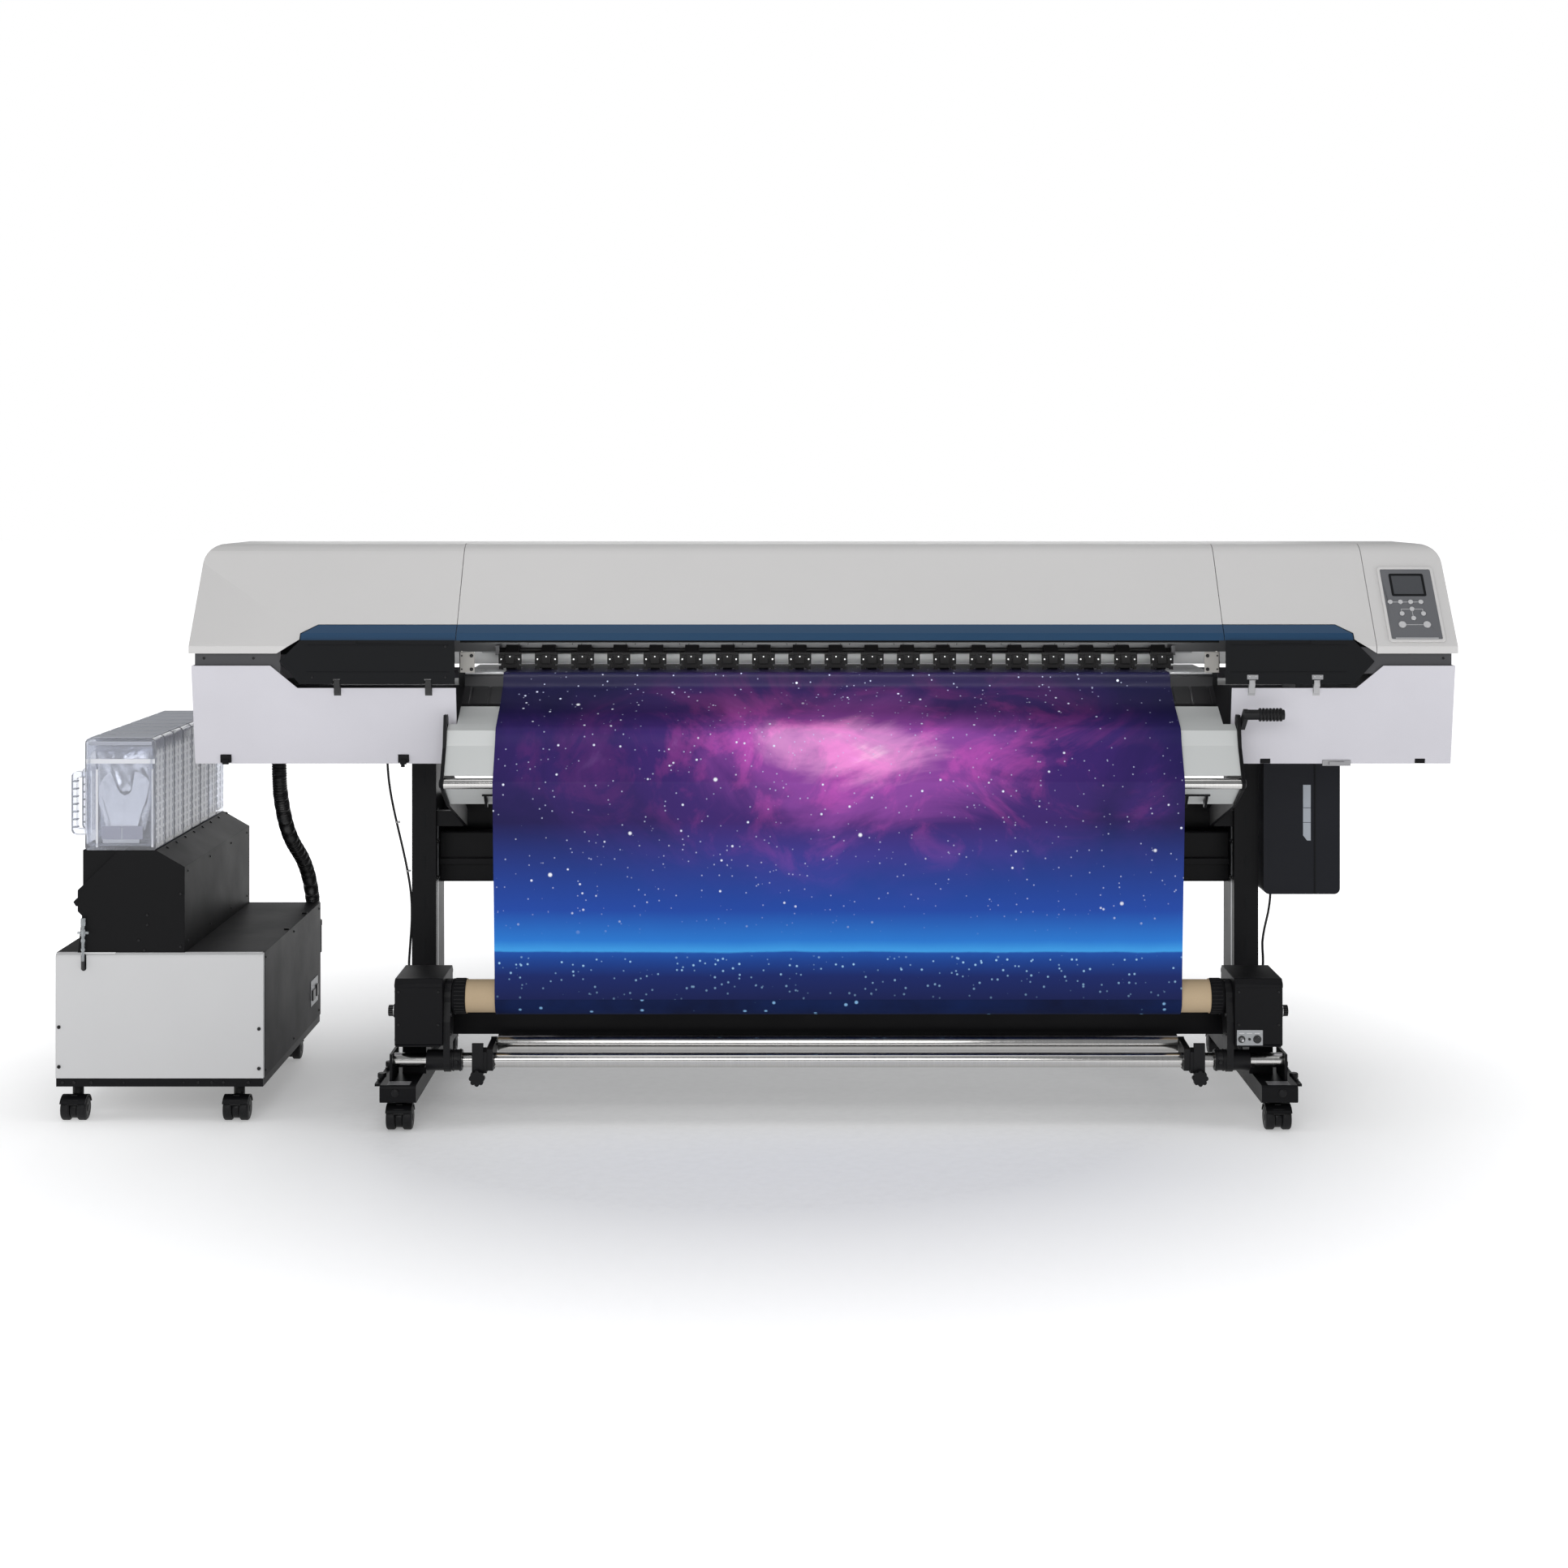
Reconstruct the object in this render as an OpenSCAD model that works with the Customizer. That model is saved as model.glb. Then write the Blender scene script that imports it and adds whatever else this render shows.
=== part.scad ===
// Wide-format roll printer on a wheeled stand, with a take-up unit and an ink supply cart.
// Millimetres, +Z up. The origin is on the floor, at the centre of the whole machine.

/* [Printer body] */
// Width of the widest media
media_w = 1600; // [1300:10:2200]
// Clear space between the media's edge and the end covers
media_side = 102; // [80:1:200]
// Height of the flat top above the floor
top_z = 1353; // [1300:1:1650]
// Depth of the body
body_d = 680; // [640:1:850]
// Width of the cover left of the print area
left_w = 624; // [540:1:800]
// Width of the cover right of the print area
right_w = 355; // [340:1:500]
// Width of the cover that carries the control panel
panel_w = 190; // [160:1:260]
// Wall of the moulded covers
wall = 3; // [2:0.5:5]
// Length of the left service panel's straight top edge
left_panel_len = 364; // [280:1:420]
// Length of the right service panel's straight top edge
right_panel_len = 302; // [240:1:302]

/* [Media path] */
// Number of pinch rollers
pinch_n = 19; // [7:1:25]
// Diameter of the feed roller
feed_d = 26; // [20:1:30]
// Diameter of a pinch roller
pinch_d = 18; // [14:1:20]
// Outer diameter of the paper cores
core_d = 76.7; // [60:0.1:90]
// Wall of a paper core
core_wall = 3.4; // [2:0.1:8]
// Depth of media wound on the take-up core
takeup_wound = 4; // [1:0.5:30]
// Outer diameter of the supply roll
supply_d = 150; // [100:1:200]
// Thickness drawn for the media
media_t = 0.8; // [0.5:0.1:1.2]

/* [Stand] */
// Length of a foot beam
foot_len = 860; // [840:1:1100]
// Width of a foot beam
foot_w = 84; // [70:1:100]
// Height of a foot beam
foot_h = 41; // [30:1:60]
// Width of a post
post_w = 60; // [50:1:75]
// Depth of a post
post_d = 142; // [100:1:160]
// Diameter of the take-up unit's long tube
tube_d = 34; // [28:1:38]
// Diameter of the guide roller
guide_d = 42; // [30:1:48]
// Diameter of every caster wheel
wheel_d = 55; // [45:1:60]
// Width of one caster wheel
wheel_w = 22; // [16:1:26]

/* [Ink cart] */
// How far the cart stands out past the body's left end
cart_out = 314; // [300:1:500]
// Width of the cart
cart_w = 489; // [440:1:600]
// Depth of the cart
cart_d = 690; // [690:1:800]
// Height of the cart's casing top
cart_top = 397.5; // [350:0.5:450]
// Number of ink cases
ink_n = 8; // [4:1:8]
// Spacing of the ink cases
ink_pitch = 86; // [80:1:86]
// Thickness of one ink case
ink_t = 78; // [60:1:79]
// Height of an ink case above the tower
ink_h = 263; // [200:1:300]

/* [Hidden] */
$fn = 48;

// Clearances
gap = 1;        // between covers
fit = 0.3;      // round a shaft, on the radius
seat = 1;       // round a case in its socket

// Places across the machine
centre_w = media_w + 2 * media_side;
total_w = cart_out + left_w + centre_w + right_w + panel_w;
cart_x0 = -total_w / 2;
cart_x1 = cart_x0 + cart_w;
body_x0 = cart_x0 + cart_out;
seam_l = body_x0 + left_w;
seam_r = seam_l + centre_w;
seam_p = seam_r + right_w;
body_x1 = total_w / 2;
media_mid = (seam_l + seam_r) / 2 - 5;
media_half = media_w / 2;
foot_out = media_half + 217.5;
foot_x = [media_mid - foot_out, media_mid + foot_out];

// Depths are measured back from the front lip of the covers
foot_front = 85;
lip_y = foot_front - foot_len / 2;
foot_back = foot_len - foot_front;
top_flat = body_d - 230;
back_drop = 70;

// Heights
lip_z = top_z - 253;
lip_top = lip_z + 17;
slope_a = 53.4;
crest_r = 60;
trim_top = top_z - 187;
trim_low = top_z - 223;
platen_z = top_z - 310;
low_top = top_z - 281;
low_bottom = top_z - 516;
foot_z = wheel_d + 13;
foot_top = foot_z + foot_h;

// Front cover hinge
cover_hinge_y = 330;
cover_hinge_z = top_z - 8;
hinge_pin_d = 6;
hinge_gap = 5;

// Feed and pinch
feed_y = 235;
feed_z = platen_z - feed_d / 2;
pinch_z = platen_z + media_t + 2 * fit + pinch_d / 2;
pinch_pivot = [300, platen_z + 45];
pinch_shaft_d = 12;
pinch_step = (media_w - 14) / (pinch_n - 1);

// Take-up unit
reel_y = 8;
reel_z = 297;
tube_y = -20;
tube_z = 153.5;
guide_y = 45;
guide_z = 178;
box_in = media_half + 118.5;
box_w = 110;
box_low = 194;
box_high = 348;
box_front = -60;
box_back = 120;
arm_t = 16;
spindle_d = 24;
core_half = media_half + 68.5;
bracket_in = media_half + 3;

// Supply roll
supply_y = 650;
supply_z = 760;

// Service panels
panel_low = top_z - 325;
panel_mid = top_z - 271.5;
panel_high = trim_low + 3;
panel_tip = 52;
panel_y = 4;

// Control panel
cp_mid = (seam_p + body_x1) / 2 + 2;
cp_w = 121;
cp_s = [17, 217];

// Ink cart
cart_y = 5;
cart_z = 84;
tower_x = cart_x0 + 52;
tower_high = 637.5;
case_x = [cart_x0 + 69, cart_x0 + 235];
neck_x = [cart_x0 + 158, cart_x0 + 229];
neck_h = 70;
cart_caster_x = [cart_x0 + 40, cart_x1 - 68];
cart_caster_y = [cart_y + 50, cart_y + cart_d - 38];

// Casters
trail = 22;
web_w = 14;
axle_d = 8;
caster_front_y = -28;
caster_rear_y = foot_back - 60;

// Colours
beige = [0.83, 0.83, 0.84];
lavender = [0.73, 0.72, 0.76];
ink_black = [0.09, 0.09, 0.1];
navy = [0.15, 0.24, 0.36];
plate_grey = [0.76, 0.77, 0.76];
steel = [0.75, 0.75, 0.76];
chrome = [0.85, 0.84, 0.83];
charcoal = [0.17, 0.16, 0.17];

// Cord routes, measured from the origin
hose_d = 38;
hose_route = [[-1191, 5, 829], [-1191, 5, 806], [-1191, 7, 780], [-1191, 16, 738], [-1190, 34, 698],
    [-1189, 60, 660], [-1188, 92, 627], [-1187, 130, 598], [-1186, 170, 574], [-1185, 212, 552],
    [-1184, 252, 530], [-1183, 290, 504], [-1182, 324, 474], [-1181, 352, 439], [-1180, 372, 400],
    [-1180, 382, 360], [-1180, 382, 330]];
cable_d = 6;
left_cable = [[-943, 135, 837], [-943, 135, 815], [-943, 135, 790], [-940, 134, 750],
    [-932, 131, 700],
    [-918, 124, 640], [-902, 114, 580], [-887, 102, 520], [-876, 90, 460], [-872, 74, 400],
    [-871, 45, 345], [-867, 0, 305], [-855, -60, 288], [-835, -122, 286], [-812, -175, 291],
    [-801, -203, 296], [-800, -225, 297]];
right_cable = [[1283, 47, 488], [1283, 47, 462], [1277, 43, 425], [1266, 33, 388], [1257, 15, 355],
    [1253, -12, 327], [1246, -46, 305], [1233, -90, 292], [1212, -140, 288], [1191, -178, 291],
    [1181, -203, 296], [1180, -225, 297]];

// ---- Outlines ----

function unit(v) = v / norm(v);
function turn(p) = [-p[1], p[0]];
function wrap(a) = a > 180 ? a - 360 : a < -180 ? a + 360 : a;

// One corner as an arc that touches both sides
function corner(a, b, c, r, n = 6) = r <= 0 ? [b] :
    let (u = unit(a - b), v = unit(c - b), half = acos(u * v) / 2,
        mid = b + unit(u + v) * r / sin(half), from = b + u * r / tan(half) - mid,
        to = b + v * r / tan(half) - mid, a0 = atan2(from[1], from[0]),
        sweep = wrap(atan2(to[1], to[0]) - a0))
    [for (i = [0:n]) mid + r * [cos(a0 + sweep * i / n), sin(a0 + sweep * i / n)]];

function rounded(p, r, n = 6) = let (k = len(p))
    [for (i = [0:k - 1]) each corner(p[(i + k - 1) % k], p[i], p[(i + 1) % k], r[i], n)];

// An open path as a band of thickness t, laid on its left side
function side(p, t) = let (k = len(p) - 1)
    [for (i = [0:k]) let (a = turn(unit(p[max(i, 1)] - p[max(i, 1) - 1])),
        b = turn(unit(p[min(i, k - 1) + 1] - p[min(i, k - 1)]))) p[i] + t * (a + b) / (1 + a * b)];
function band(p, t) = concat([for (i = [len(p) - 1:-1:0]) p[i]], side(p, t));

function circle_points(c, r, a0, a1, n) =
    [for (i = [0:n]) c + r * [cos(a0 + (a1 - a0) * i / n), sin(a0 + (a1 - a0) * i / n)]];

function slope_y(z) = (z - lip_top) / tan(slope_a);

// ---- Shared shapes ----

module at_lip() translate([0, lip_y, 0]) children();
module along_x(x0, x1) translate([x0, 0, 0]) rotate([90, 0, 90]) linear_extrude(x1 - x0) children();
module along_y(y0, y1) translate([0, y1, 0]) rotate([90, 0, 0]) linear_extrude(y1 - y0) children();
module rod(x0, x1, y, z, d) translate([x0, y, z]) rotate([0, 90, 0]) cylinder(d = d, h = x1 - x0);
module peg(y0, y1, x, z, d) translate([x, y1, z]) rotate([90, 0, 0]) cylinder(d = d, h = y1 - y0);
module block(a, b) translate(a) cube(b - a);
module on_slope(x, s) translate([x, 0, lip_top]) rotate([slope_a, 0, 0]) translate([0, s, 0]) children();
module outward(dir) translate([dir < 0 ? seam_l : seam_r, 0, 0]) scale_x(dir) children();
module scale_x(dir) if (dir < 0) mirror([1, 0, 0]) children(); else children();
module both_ends(half) for (dir = [-1, 1]) translate([media_mid, 0, 0]) scale_x(dir)
    translate([half, 0, 0]) children();

// A tube swept along a list of points
module swept(route, d, n = 10) {
    k = len(route);
    aim = [for (i = [0:k - 1]) unit(route[min(i + 1, k - 1)] - route[max(i - 1, 0)])];
    points = [for (i = [0:k - 1]) let (s = unit(cross(aim[i], [1, 0, 0])), t = cross(aim[i], s))
        for (j = [0:n - 1]) route[i] + d / 2 * (cos(360 * j / n) * s + sin(360 * j / n) * t)];
    sides = [for (i = [0:k - 2]) for (j = [0:n - 1])
        [i * n + j, i * n + (j + 1) % n, (i + 1) * n + (j + 1) % n, (i + 1) * n + j]];
    polyhedron(points, concat([[for (j = [n - 1:-1:0]) j]], sides,
        [[for (j = [0:n - 1]) (k - 1) * n + j]]));
}

// ---- Stand ----

module foot_beam(x) {
    translate([x, 0, 0]) difference() {
        along_x(-foot_w / 2, foot_w / 2) polygon(rounded([[-foot_front, foot_z], [foot_back, foot_z],
            [foot_back, foot_top], [-foot_front, foot_top]], [8, 8, 8, 8]));
        along_x(-foot_w / 2 + wall, foot_w / 2 - wall) polygon([[wall - foot_front + 6, foot_z - 1],
            [foot_back - wall - 6, foot_z - 1], [foot_back - wall - 6, foot_top - wall],
            [wall - foot_front + 6, foot_top - wall]]);
    }
    // Plates that the casters are bolted to
    for (y = [caster_front_y, caster_rear_y]) translate([x, y, foot_z - 2])
        difference() {
            translate([-30, -30, 0]) cube([60, 60, 4]);
            if (y == caster_front_y) translate([0, 0, -1]) cylinder(d = 12 + 2 * fit, h = 6);
        }
    translate([x, caster_rear_y, 0]) caster_body(foot_z - 2, false);
}

// Web that holds one end of the long tube, and the outrigger plate beside the foot
plate_hole_d = 6.6;
plate_hole_y = [14, 127];
plate_w = 21;
module outrigger() {
    block([19, -46, foot_top], [25, 52, foot_top + 63]);
    difference() {
        block([foot_w / 2, -27, foot_top - 16], [foot_w / 2 + plate_w, 278, foot_top - 10]);
        for (y = plate_hole_y) translate([foot_w / 2 + plate_w / 2, y, foot_top - 17])
            cylinder(d = plate_hole_d, h = 8);
    }
}

module feet() color(ink_black) at_lip() {
    for (x = foot_x) foot_beam(x);
    both_ends(foot_out) outrigger();
}

post_y = 320;
beam_low = 500;
beam_high = 627;
module guide_brace() {
    // Plate at the end of the paper guide, with its arm back to the post
    difference() {
        along_x(0, 8) polygon([[-78, low_bottom - 32], [-60, low_bottom - 50], [40, low_bottom - 100],
            [post_y + 30, beam_high + 20], [post_y + 30, beam_high + 62], [60, low_bottom - 12],
            [16, low_bottom + 10], [16, low_bottom + 112], [8, low_bottom + 120],
            [-14, low_bottom + 120], [-30, low_bottom + 45]]);
        rod(-1, 9, 0, low_bottom + 93, 10 + 2 * fit);
    }
}

module stand_frame() color(ink_black) at_lip() {
    for (x = foot_x) block([x - post_w / 2, post_y, foot_top],
        [x + post_w / 2, post_y + post_d, low_bottom + 43]);
    difference() {
        along_x(media_mid - foot_out + post_w / 2, media_mid + foot_out - post_w / 2)
            polygon(rounded([[post_y + 80, beam_low], [post_y + 128, beam_low], [post_y + 128, beam_high],
                [post_y + 80, beam_high]], [6, 6, 6, 6]));
        along_x(media_mid - foot_out + post_w / 2 - 1, media_mid + foot_out - post_w / 2 + 1)
            polygon([[post_y + 84, beam_low + 4], [post_y + 124, beam_low + 4],
                [post_y + 124, beam_high - 4], [post_y + 84, beam_high - 4]]);
    }
    // Ledge that stiffens the beam's front face
    block([media_mid - foot_out + post_w / 2, post_y + 68, beam_low + 45],
        [media_mid + foot_out - post_w / 2, post_y + 80, beam_low + 60]);
    translate([guide_x[0] - 8, 0, 0]) guide_brace();
    translate([guide_x[1], 0, 0]) guide_brace();
    for (end = [[guide_x[0] - 8, -1], [guide_x[1] + 8, 1]]) {
        post_face = media_mid + end[1] * (foot_out - post_w / 2);
        block([min(end[0], post_face), post_y + 10, beam_high + 22],
            [max(end[0], post_face), post_y + 30, beam_high + 60]);
    }
}

// ---- Chassis ----

beam_x = [body_x0 + 34, body_x1 - 34];
module box_beam(low, high) difference() {
    block([beam_x[0], low[0], low[1]], [beam_x[1], high[0], high[1]]);
    block([beam_x[0] - 1, low[0] + 3, low[1] + 3], [beam_x[1] + 1, high[0] - 3, high[1] - 3]);
}

module hinge_lug(x) {
    difference() {
        block([x, cover_hinge_y - 9, top_z - 40], [x + 10, 400, top_z - wall - 0.5]);
        block([x - 1, cover_hinge_y + 10, top_z - 41], [x + 11, 356, top_z - 20]);
        rod(x - 1, x + 11, cover_hinge_y, cover_hinge_z, hinge_pin_d + 2 * fit);
    }
    block([x, 356, top_z - 63], [x + 10, 400, top_z - 40]);
}

// Dark band that shows between the upper and lower covers, open towards the middle of the machine
band_z = [low_top - 20, lip_z + 14];
module dark_band(dir, end, width) {
    out = end - dir * 12;
    in = end - dir * width;
    difference() {
        block([min(out, in), 12, band_z[0]], [max(out, in), body_d - 18, band_z[1]]);
        block([min(out - dir * 5, in - dir), 17, band_z[0] - 1],
            [max(out - dir * 5, in - dir), body_d - 23, band_z[1] + 1]);
    }
    // Bracket to the chassis end plate
    block([min(out, end - dir * 29), 200, band_z[0]], [max(out, end - dir * 29), 400, band_z[0] + 3]);
}

module main_beam() color([0.3, 0.3, 0.32]) at_lip() {
    // Lower box beam on the posts, upper beam behind the carriage
    box_beam([255, low_bottom + 43], [470, platen_z - 38]);
    box_beam([352, platen_z + 77], [470, top_z - 63]);
    for (x = [beam_x[0] - 6, beam_x[1]]) along_x(x, x + 6) polygon([[60, low_bottom + 30],
        [560, low_bottom + 30], [560, top_z - 60], [slope_y(top_z - 60) + 20, top_z - 60],
        [60, lip_top + 20]]);
    // Plate behind the pinch rollers, with the bearings of the pinch shaft
    block([seam_l - 90, 340, platen_z + 8], [seam_r + 84, 352, platen_z + 84]);
    for (x = [pinch_x(0) - 44, pinch_x(pinch_n - 1) + 34]) difference() {
        block([x, pinch_pivot[0] - 12, pinch_pivot[1] - 12], [x + 10, 340, pinch_pivot[1] + 12]);
        rod(x - 1, x + 11, pinch_pivot[0], pinch_pivot[1], pinch_shaft_d + 2 * fit);
    }
    for (x = [seam_l - 14, seam_r + 4]) hinge_lug(x);
    dark_band(-1, body_x0, left_w - left_panel_len - 48);
    dark_band(1, body_x1, panel_w + 40);
}

// ---- Covers ----

upper_points = [[body_d, lip_z], [body_d, top_z - back_drop], [top_flat, top_z],
    [slope_y(top_z), top_z], [0, lip_top], [0, lip_z]];
upper_radii = [0, 40, 60, crest_r, 3, 0];
inner_points = [[body_d - wall, lip_z - 1], [body_d - wall, top_z - back_drop - wall],
    [top_flat, top_z - wall], [slope_y(top_z) + wall / 2, top_z - wall], [wall, lip_top - 1],
        [wall, lip_z - 1]];
inner_radii = [0, 37, 57, crest_r - wall, 1, 0];

// A stretch of the upper covers, open below, with a closed rounded end where one is asked for
module upper_skin(x0, x1, end) {
    end_r = 45;
    low = lip_z - 2;
    r = [0, 0, end > 0 ? end_r : 0, end < 0 ? end_r : 0];
    a = x0 + (end < 0 ? wall : -1);
    b = x1 - (end > 0 ? wall : -1);
    difference() {
        intersection() {
            along_x(x0, x1) polygon(rounded(upper_points, upper_radii));
            along_y(-1, body_d + 1) polygon(rounded([[x0, low], [x1, low], [x1, top_z], [x0, top_z]], r));
        }
        intersection() {
            along_x(a, b) polygon(rounded(inner_points, inner_radii));
            along_y(-1, body_d + 1) polygon(rounded([[a, low - 1], [b, low - 1], [b, top_z - wall],
                [a, top_z - wall]], [for (q = r) max(q - wall, 0)]));
        }
    }
}

// What the trim and the service panel take out of a cover, outwards from the seam
module panel_cut(length) along_y(-5, 70) polygon([[-1, lip_z - 3], [length + panel_tip + 2, lip_z - 3],
    [length + panel_tip + 2, lip_z], [length + 3, trim_low + 2], [length + 3, trim_low + 16],
    [length - 37, trim_top], [-1, trim_top]]);

module upper_left_cover() color(beige) at_lip() difference() {
    upper_skin(body_x0, seam_l - gap / 2, -1);
    outward(-1) panel_cut(left_panel_len);
}

module upper_right_cover() color(beige) at_lip() difference() {
    upper_skin(seam_r + gap / 2, seam_p - gap / 2, 0);
    outward(1) panel_cut(right_panel_len);
}

module panel_cover() color(beige) at_lip() difference() {
    upper_skin(seam_p + gap / 2, body_x1, 1);
    on_slope(cp_mid, 0) translate([-cp_w / 2 + 6, cp_s[0] + 6, -10])
        cube([cp_w - 12, cp_s[1] - cp_s[0] - 12, 20]);
}

low_points = [[body_d - 10, low_top], [5, low_top], [45, low_bottom], [body_d - 30, low_bottom]];
module lower_cover(width, length, start) difference() {
    intersection() {
        along_x(start, width) polygon(low_points);
        along_y(0, body_d) polygon([[start, low_bottom - 1], [width - 5, low_bottom - 1],
            [width - 5, low_top - 1], [length + 70, low_top - 1], [length + 8, low_top - 54],
            [start, low_top - 54]]);
    }
    along_x(start - 1, width - 5 - wall) polygon([[body_d - 10 - wall, low_top + 1],
        [5 + wall, low_top + 1],
        [45 + wall, low_bottom + wall], [body_d - 30 - wall, low_bottom + wall]]);
}

// Fixed half of a service panel's hinge
module hinge_ear(x) difference() {
    block([x - 7, panel_y + 0.6, low_top - 66], [x + 7, panel_hinge[0] + 9, panel_hinge[1] + 5]);
    block([x - 8, panel_y, low_top - 67], [x + 8, panel_y + 5, panel_low - 6]);
    rod(x - 8, x + 8, panel_hinge[0], panel_hinge[1], panel_pin_d + 2 * fit);
}

module lower_covers() color(lavender) at_lip() {
    difference() {
        outward(-1) lower_cover(left_w, left_panel_len, 0);
        post_hole(-1);
        for (x = [body_x0 + 65, seam_l - 140]) block([x, 40, low_bottom - 1],
            [x + 26, 50, low_bottom + 22]);
    }
    difference() {
        outward(1) lower_cover(right_w + panel_w, right_panel_len, 18);
        post_hole(1);
        for (x = [seam_r + 90, body_x1 - 90]) block([x, 40, low_bottom - 1],
            [x + 24, 50, low_bottom + 12]);
    }
    outward(-1) for (x = panel_hinge_x(left_panel_len)) hinge_ear(x);
    outward(1) for (x = panel_hinge_x(right_panel_len)) hinge_ear(x);
    // Gland that the hose comes out of
    translate([hose_route[0][0], hose_route[0][1] - lip_y, hose_route[0][2]])
        cylinder(d = hose_d + 16, h = low_bottom - hose_route[0][2]);
}

module post_hole(dir) {
    x = media_mid + dir * foot_out;
    block([x - post_w / 2 - 2, post_y - 2, low_bottom - 2],
        [x + post_w / 2 + 2, post_y + post_d + 2, low_bottom + wall + 1]);
}

module rear_cover() color(beige) at_lip() difference() {
    upper_skin(seam_l + gap / 2, seam_r - gap / 2, 0);
    block([seam_l, -1, lip_z - 3], [seam_r, cover_hinge_y + hinge_gap, top_z + 1]);
}

module trim_shape() polygon([[slope_y(trim_top) + 8, trim_top], [slope_y(trim_top) - 1, trim_top],
    [slope_y(trim_low + 17) - 5, trim_low + 17], [slope_y(trim_low) - 1, trim_low],
        [slope_y(trim_low) + 8, trim_low]]);

module side_trim(length) intersection() {
    along_x(gap / 2, length) trim_shape();
    along_y(-10, 70) polygon([[0, trim_low], [length, trim_low], [length, trim_low + 15],
        [length - 38, trim_top - 1], [0, trim_top - 1]]);
}

module side_trims() color(navy) at_lip() {
    outward(-1) side_trim(left_panel_len);
    outward(1) side_trim(right_panel_len);
}

// ---- Front cover ----

module front_cover() color(beige) at_lip() {
    difference() {
        upper_skin(seam_l + gap, seam_r - gap, 0);
        block([seam_l, cover_hinge_y - hinge_gap, lip_z - 3], [seam_r, body_d + 1, top_z + 1]);
        block([seam_l, -1, lip_z - 3], [seam_r, 90, trim_top]);
    }
    // Hinge barrels on arms under the skin, with the pins that turn in the lugs
    for (end = [[seam_l + gap, -1], [seam_r - gap, 1]]) {
        inner = end[0] - end[1] * 14;
        outer = end[0] + end[1] * 13;
        block([min(end[0], inner), cover_hinge_y - 40, top_z - wall - 8],
            [max(end[0], inner), cover_hinge_y, top_z - wall]);
        rod(min(end[0], inner), max(end[0], inner), cover_hinge_y, cover_hinge_z, 10);
        rod(min(end[0], outer), max(end[0], outer), cover_hinge_y, cover_hinge_z, hinge_pin_d);
    }
}

module front_cover_trim() color(navy) at_lip() along_x(seam_l + gap, seam_r - gap) trim_shape();

// ---- Service panels ----

panel_hinge = [panel_y + 5, panel_low + 4];
panel_pin_d = 6;
function panel_hinge_x(length) = [64, length - 86];

module service_panel(length) {
    low = panel_low;
    difference() {
        union() {
            along_y(panel_y - 3, panel_y) polygon([[gap, low], [length, low],
                [length + panel_tip - 4, panel_mid],
                [length - 1, panel_high - 2], [gap, panel_high - 2]]);
            // Ribs behind the panel keep it flat
            for (x = [20, length / 2, length - 20])
                block([x, panel_y - 0.5, low + 14], [x + 3, panel_y + 5, panel_high - 24]);
        }
        // Finger recess
        block([length / 2 - 50, panel_y - 4, panel_high - 10],
            [length / 2 + 50, panel_y - 1.2, panel_high]);
        for (x = panel_hinge_x(length)) block([x - 8, panel_y - 4, low - 1],
            [x + 8, panel_y + 1, low + 12]);
    }
    for (x = panel_hinge_x(length)) {
        for (k = [x - 14, x + 8.5])
            block([k, panel_y - 0.5, low + 1], [k + 5.5, panel_hinge[0], low + 7]);
        rod(x - 14, x + 14, panel_hinge[0], panel_hinge[1], panel_pin_d);
    }
}

module left_service_panel() color(ink_black) at_lip() outward(-1) service_panel(left_panel_len);
module right_service_panel() color(ink_black) at_lip() outward(1) service_panel(right_panel_len);

// ---- Media path ----

guide_x = [seam_l - 17, seam_r + 25];
guide_path = [[150, platen_z - 8], [146, platen_z - 29], [80, platen_z - 74], [-12, platen_z - 122],
    [-24, platen_z - 157], [-63, platen_z - 221]];
nose = [-62, platen_z - 240];
nose_d = 25;

module platen() color([0.14, 0.14, 0.15]) at_lip() {
    difference() {
        block([seam_l + 4, 150, platen_z - 12], [seam_r - 4, 430, platen_z]);
        block([seam_l + 3, feed_y - feed_d / 2 - 1.5, platen_z - 30],
            [seam_r - 3, feed_y + feed_d / 2 + 1.5, platen_z + 1]);
    }
    // Supports down to the lower beam
    for (y = [270, 400]) block([seam_l + 4, y, platen_z - 38], [seam_r - 4, y + 8, platen_z - 12]);
    block([seam_l + 4, 258, platen_z - 38], [seam_l + 24, 275, platen_z - 12]);
    block([seam_r - 24, 258, platen_z - 38], [seam_r - 4, 275, platen_z - 12]);
    block([seam_l + 4, 150, platen_z - 34], [seam_r - 4, 156, platen_z - 12]);
    block([seam_l + 4, 210, platen_z - 34], [seam_r - 4, 216, platen_z - 12]);
    for (x = [seam_l + 4, seam_r - 14]) block([x, 156, platen_z - 34], [x + 10, 270, platen_z - 30]);
    // Grooved apron in front of the platen
    difference() {
        along_x(seam_l + 4, seam_r - 4) polygon([[150, platen_z - 4], [142, platen_z - 8],
            [140, platen_z - 31],
            [86, platen_z - 68], [92, platen_z - 75], [150, platen_z - 38]]);
        for (i = [0:40]) translate([seam_l + 20 + i * (centre_w - 40) / 40, 0, 0]) along_x(0, 6)
            polygon([[139, platen_z - 30], [139, platen_z - 33.5], [75, platen_z - 77.5],
                [75, platen_z - 74]]);
    }
    // Bearings of the feed roller
    for (x = [seam_l - 20, seam_r + 4]) difference() {
        block([x, feed_y - 22, platen_z - 38], [x + 16, 275, feed_z + 12]);
        rod(x - 1, x + 17, feed_y, feed_z, 12 + 2 * fit);
    }
    // Curved guide where the media comes in from behind
    along_x(seam_l + 30, seam_r - 30) polygon(concat(
        circle_points([430, platen_z - 60], 60, 90, 0, 10),
            circle_points([430, platen_z - 60], 54, 0, 90, 10)));
}

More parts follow.
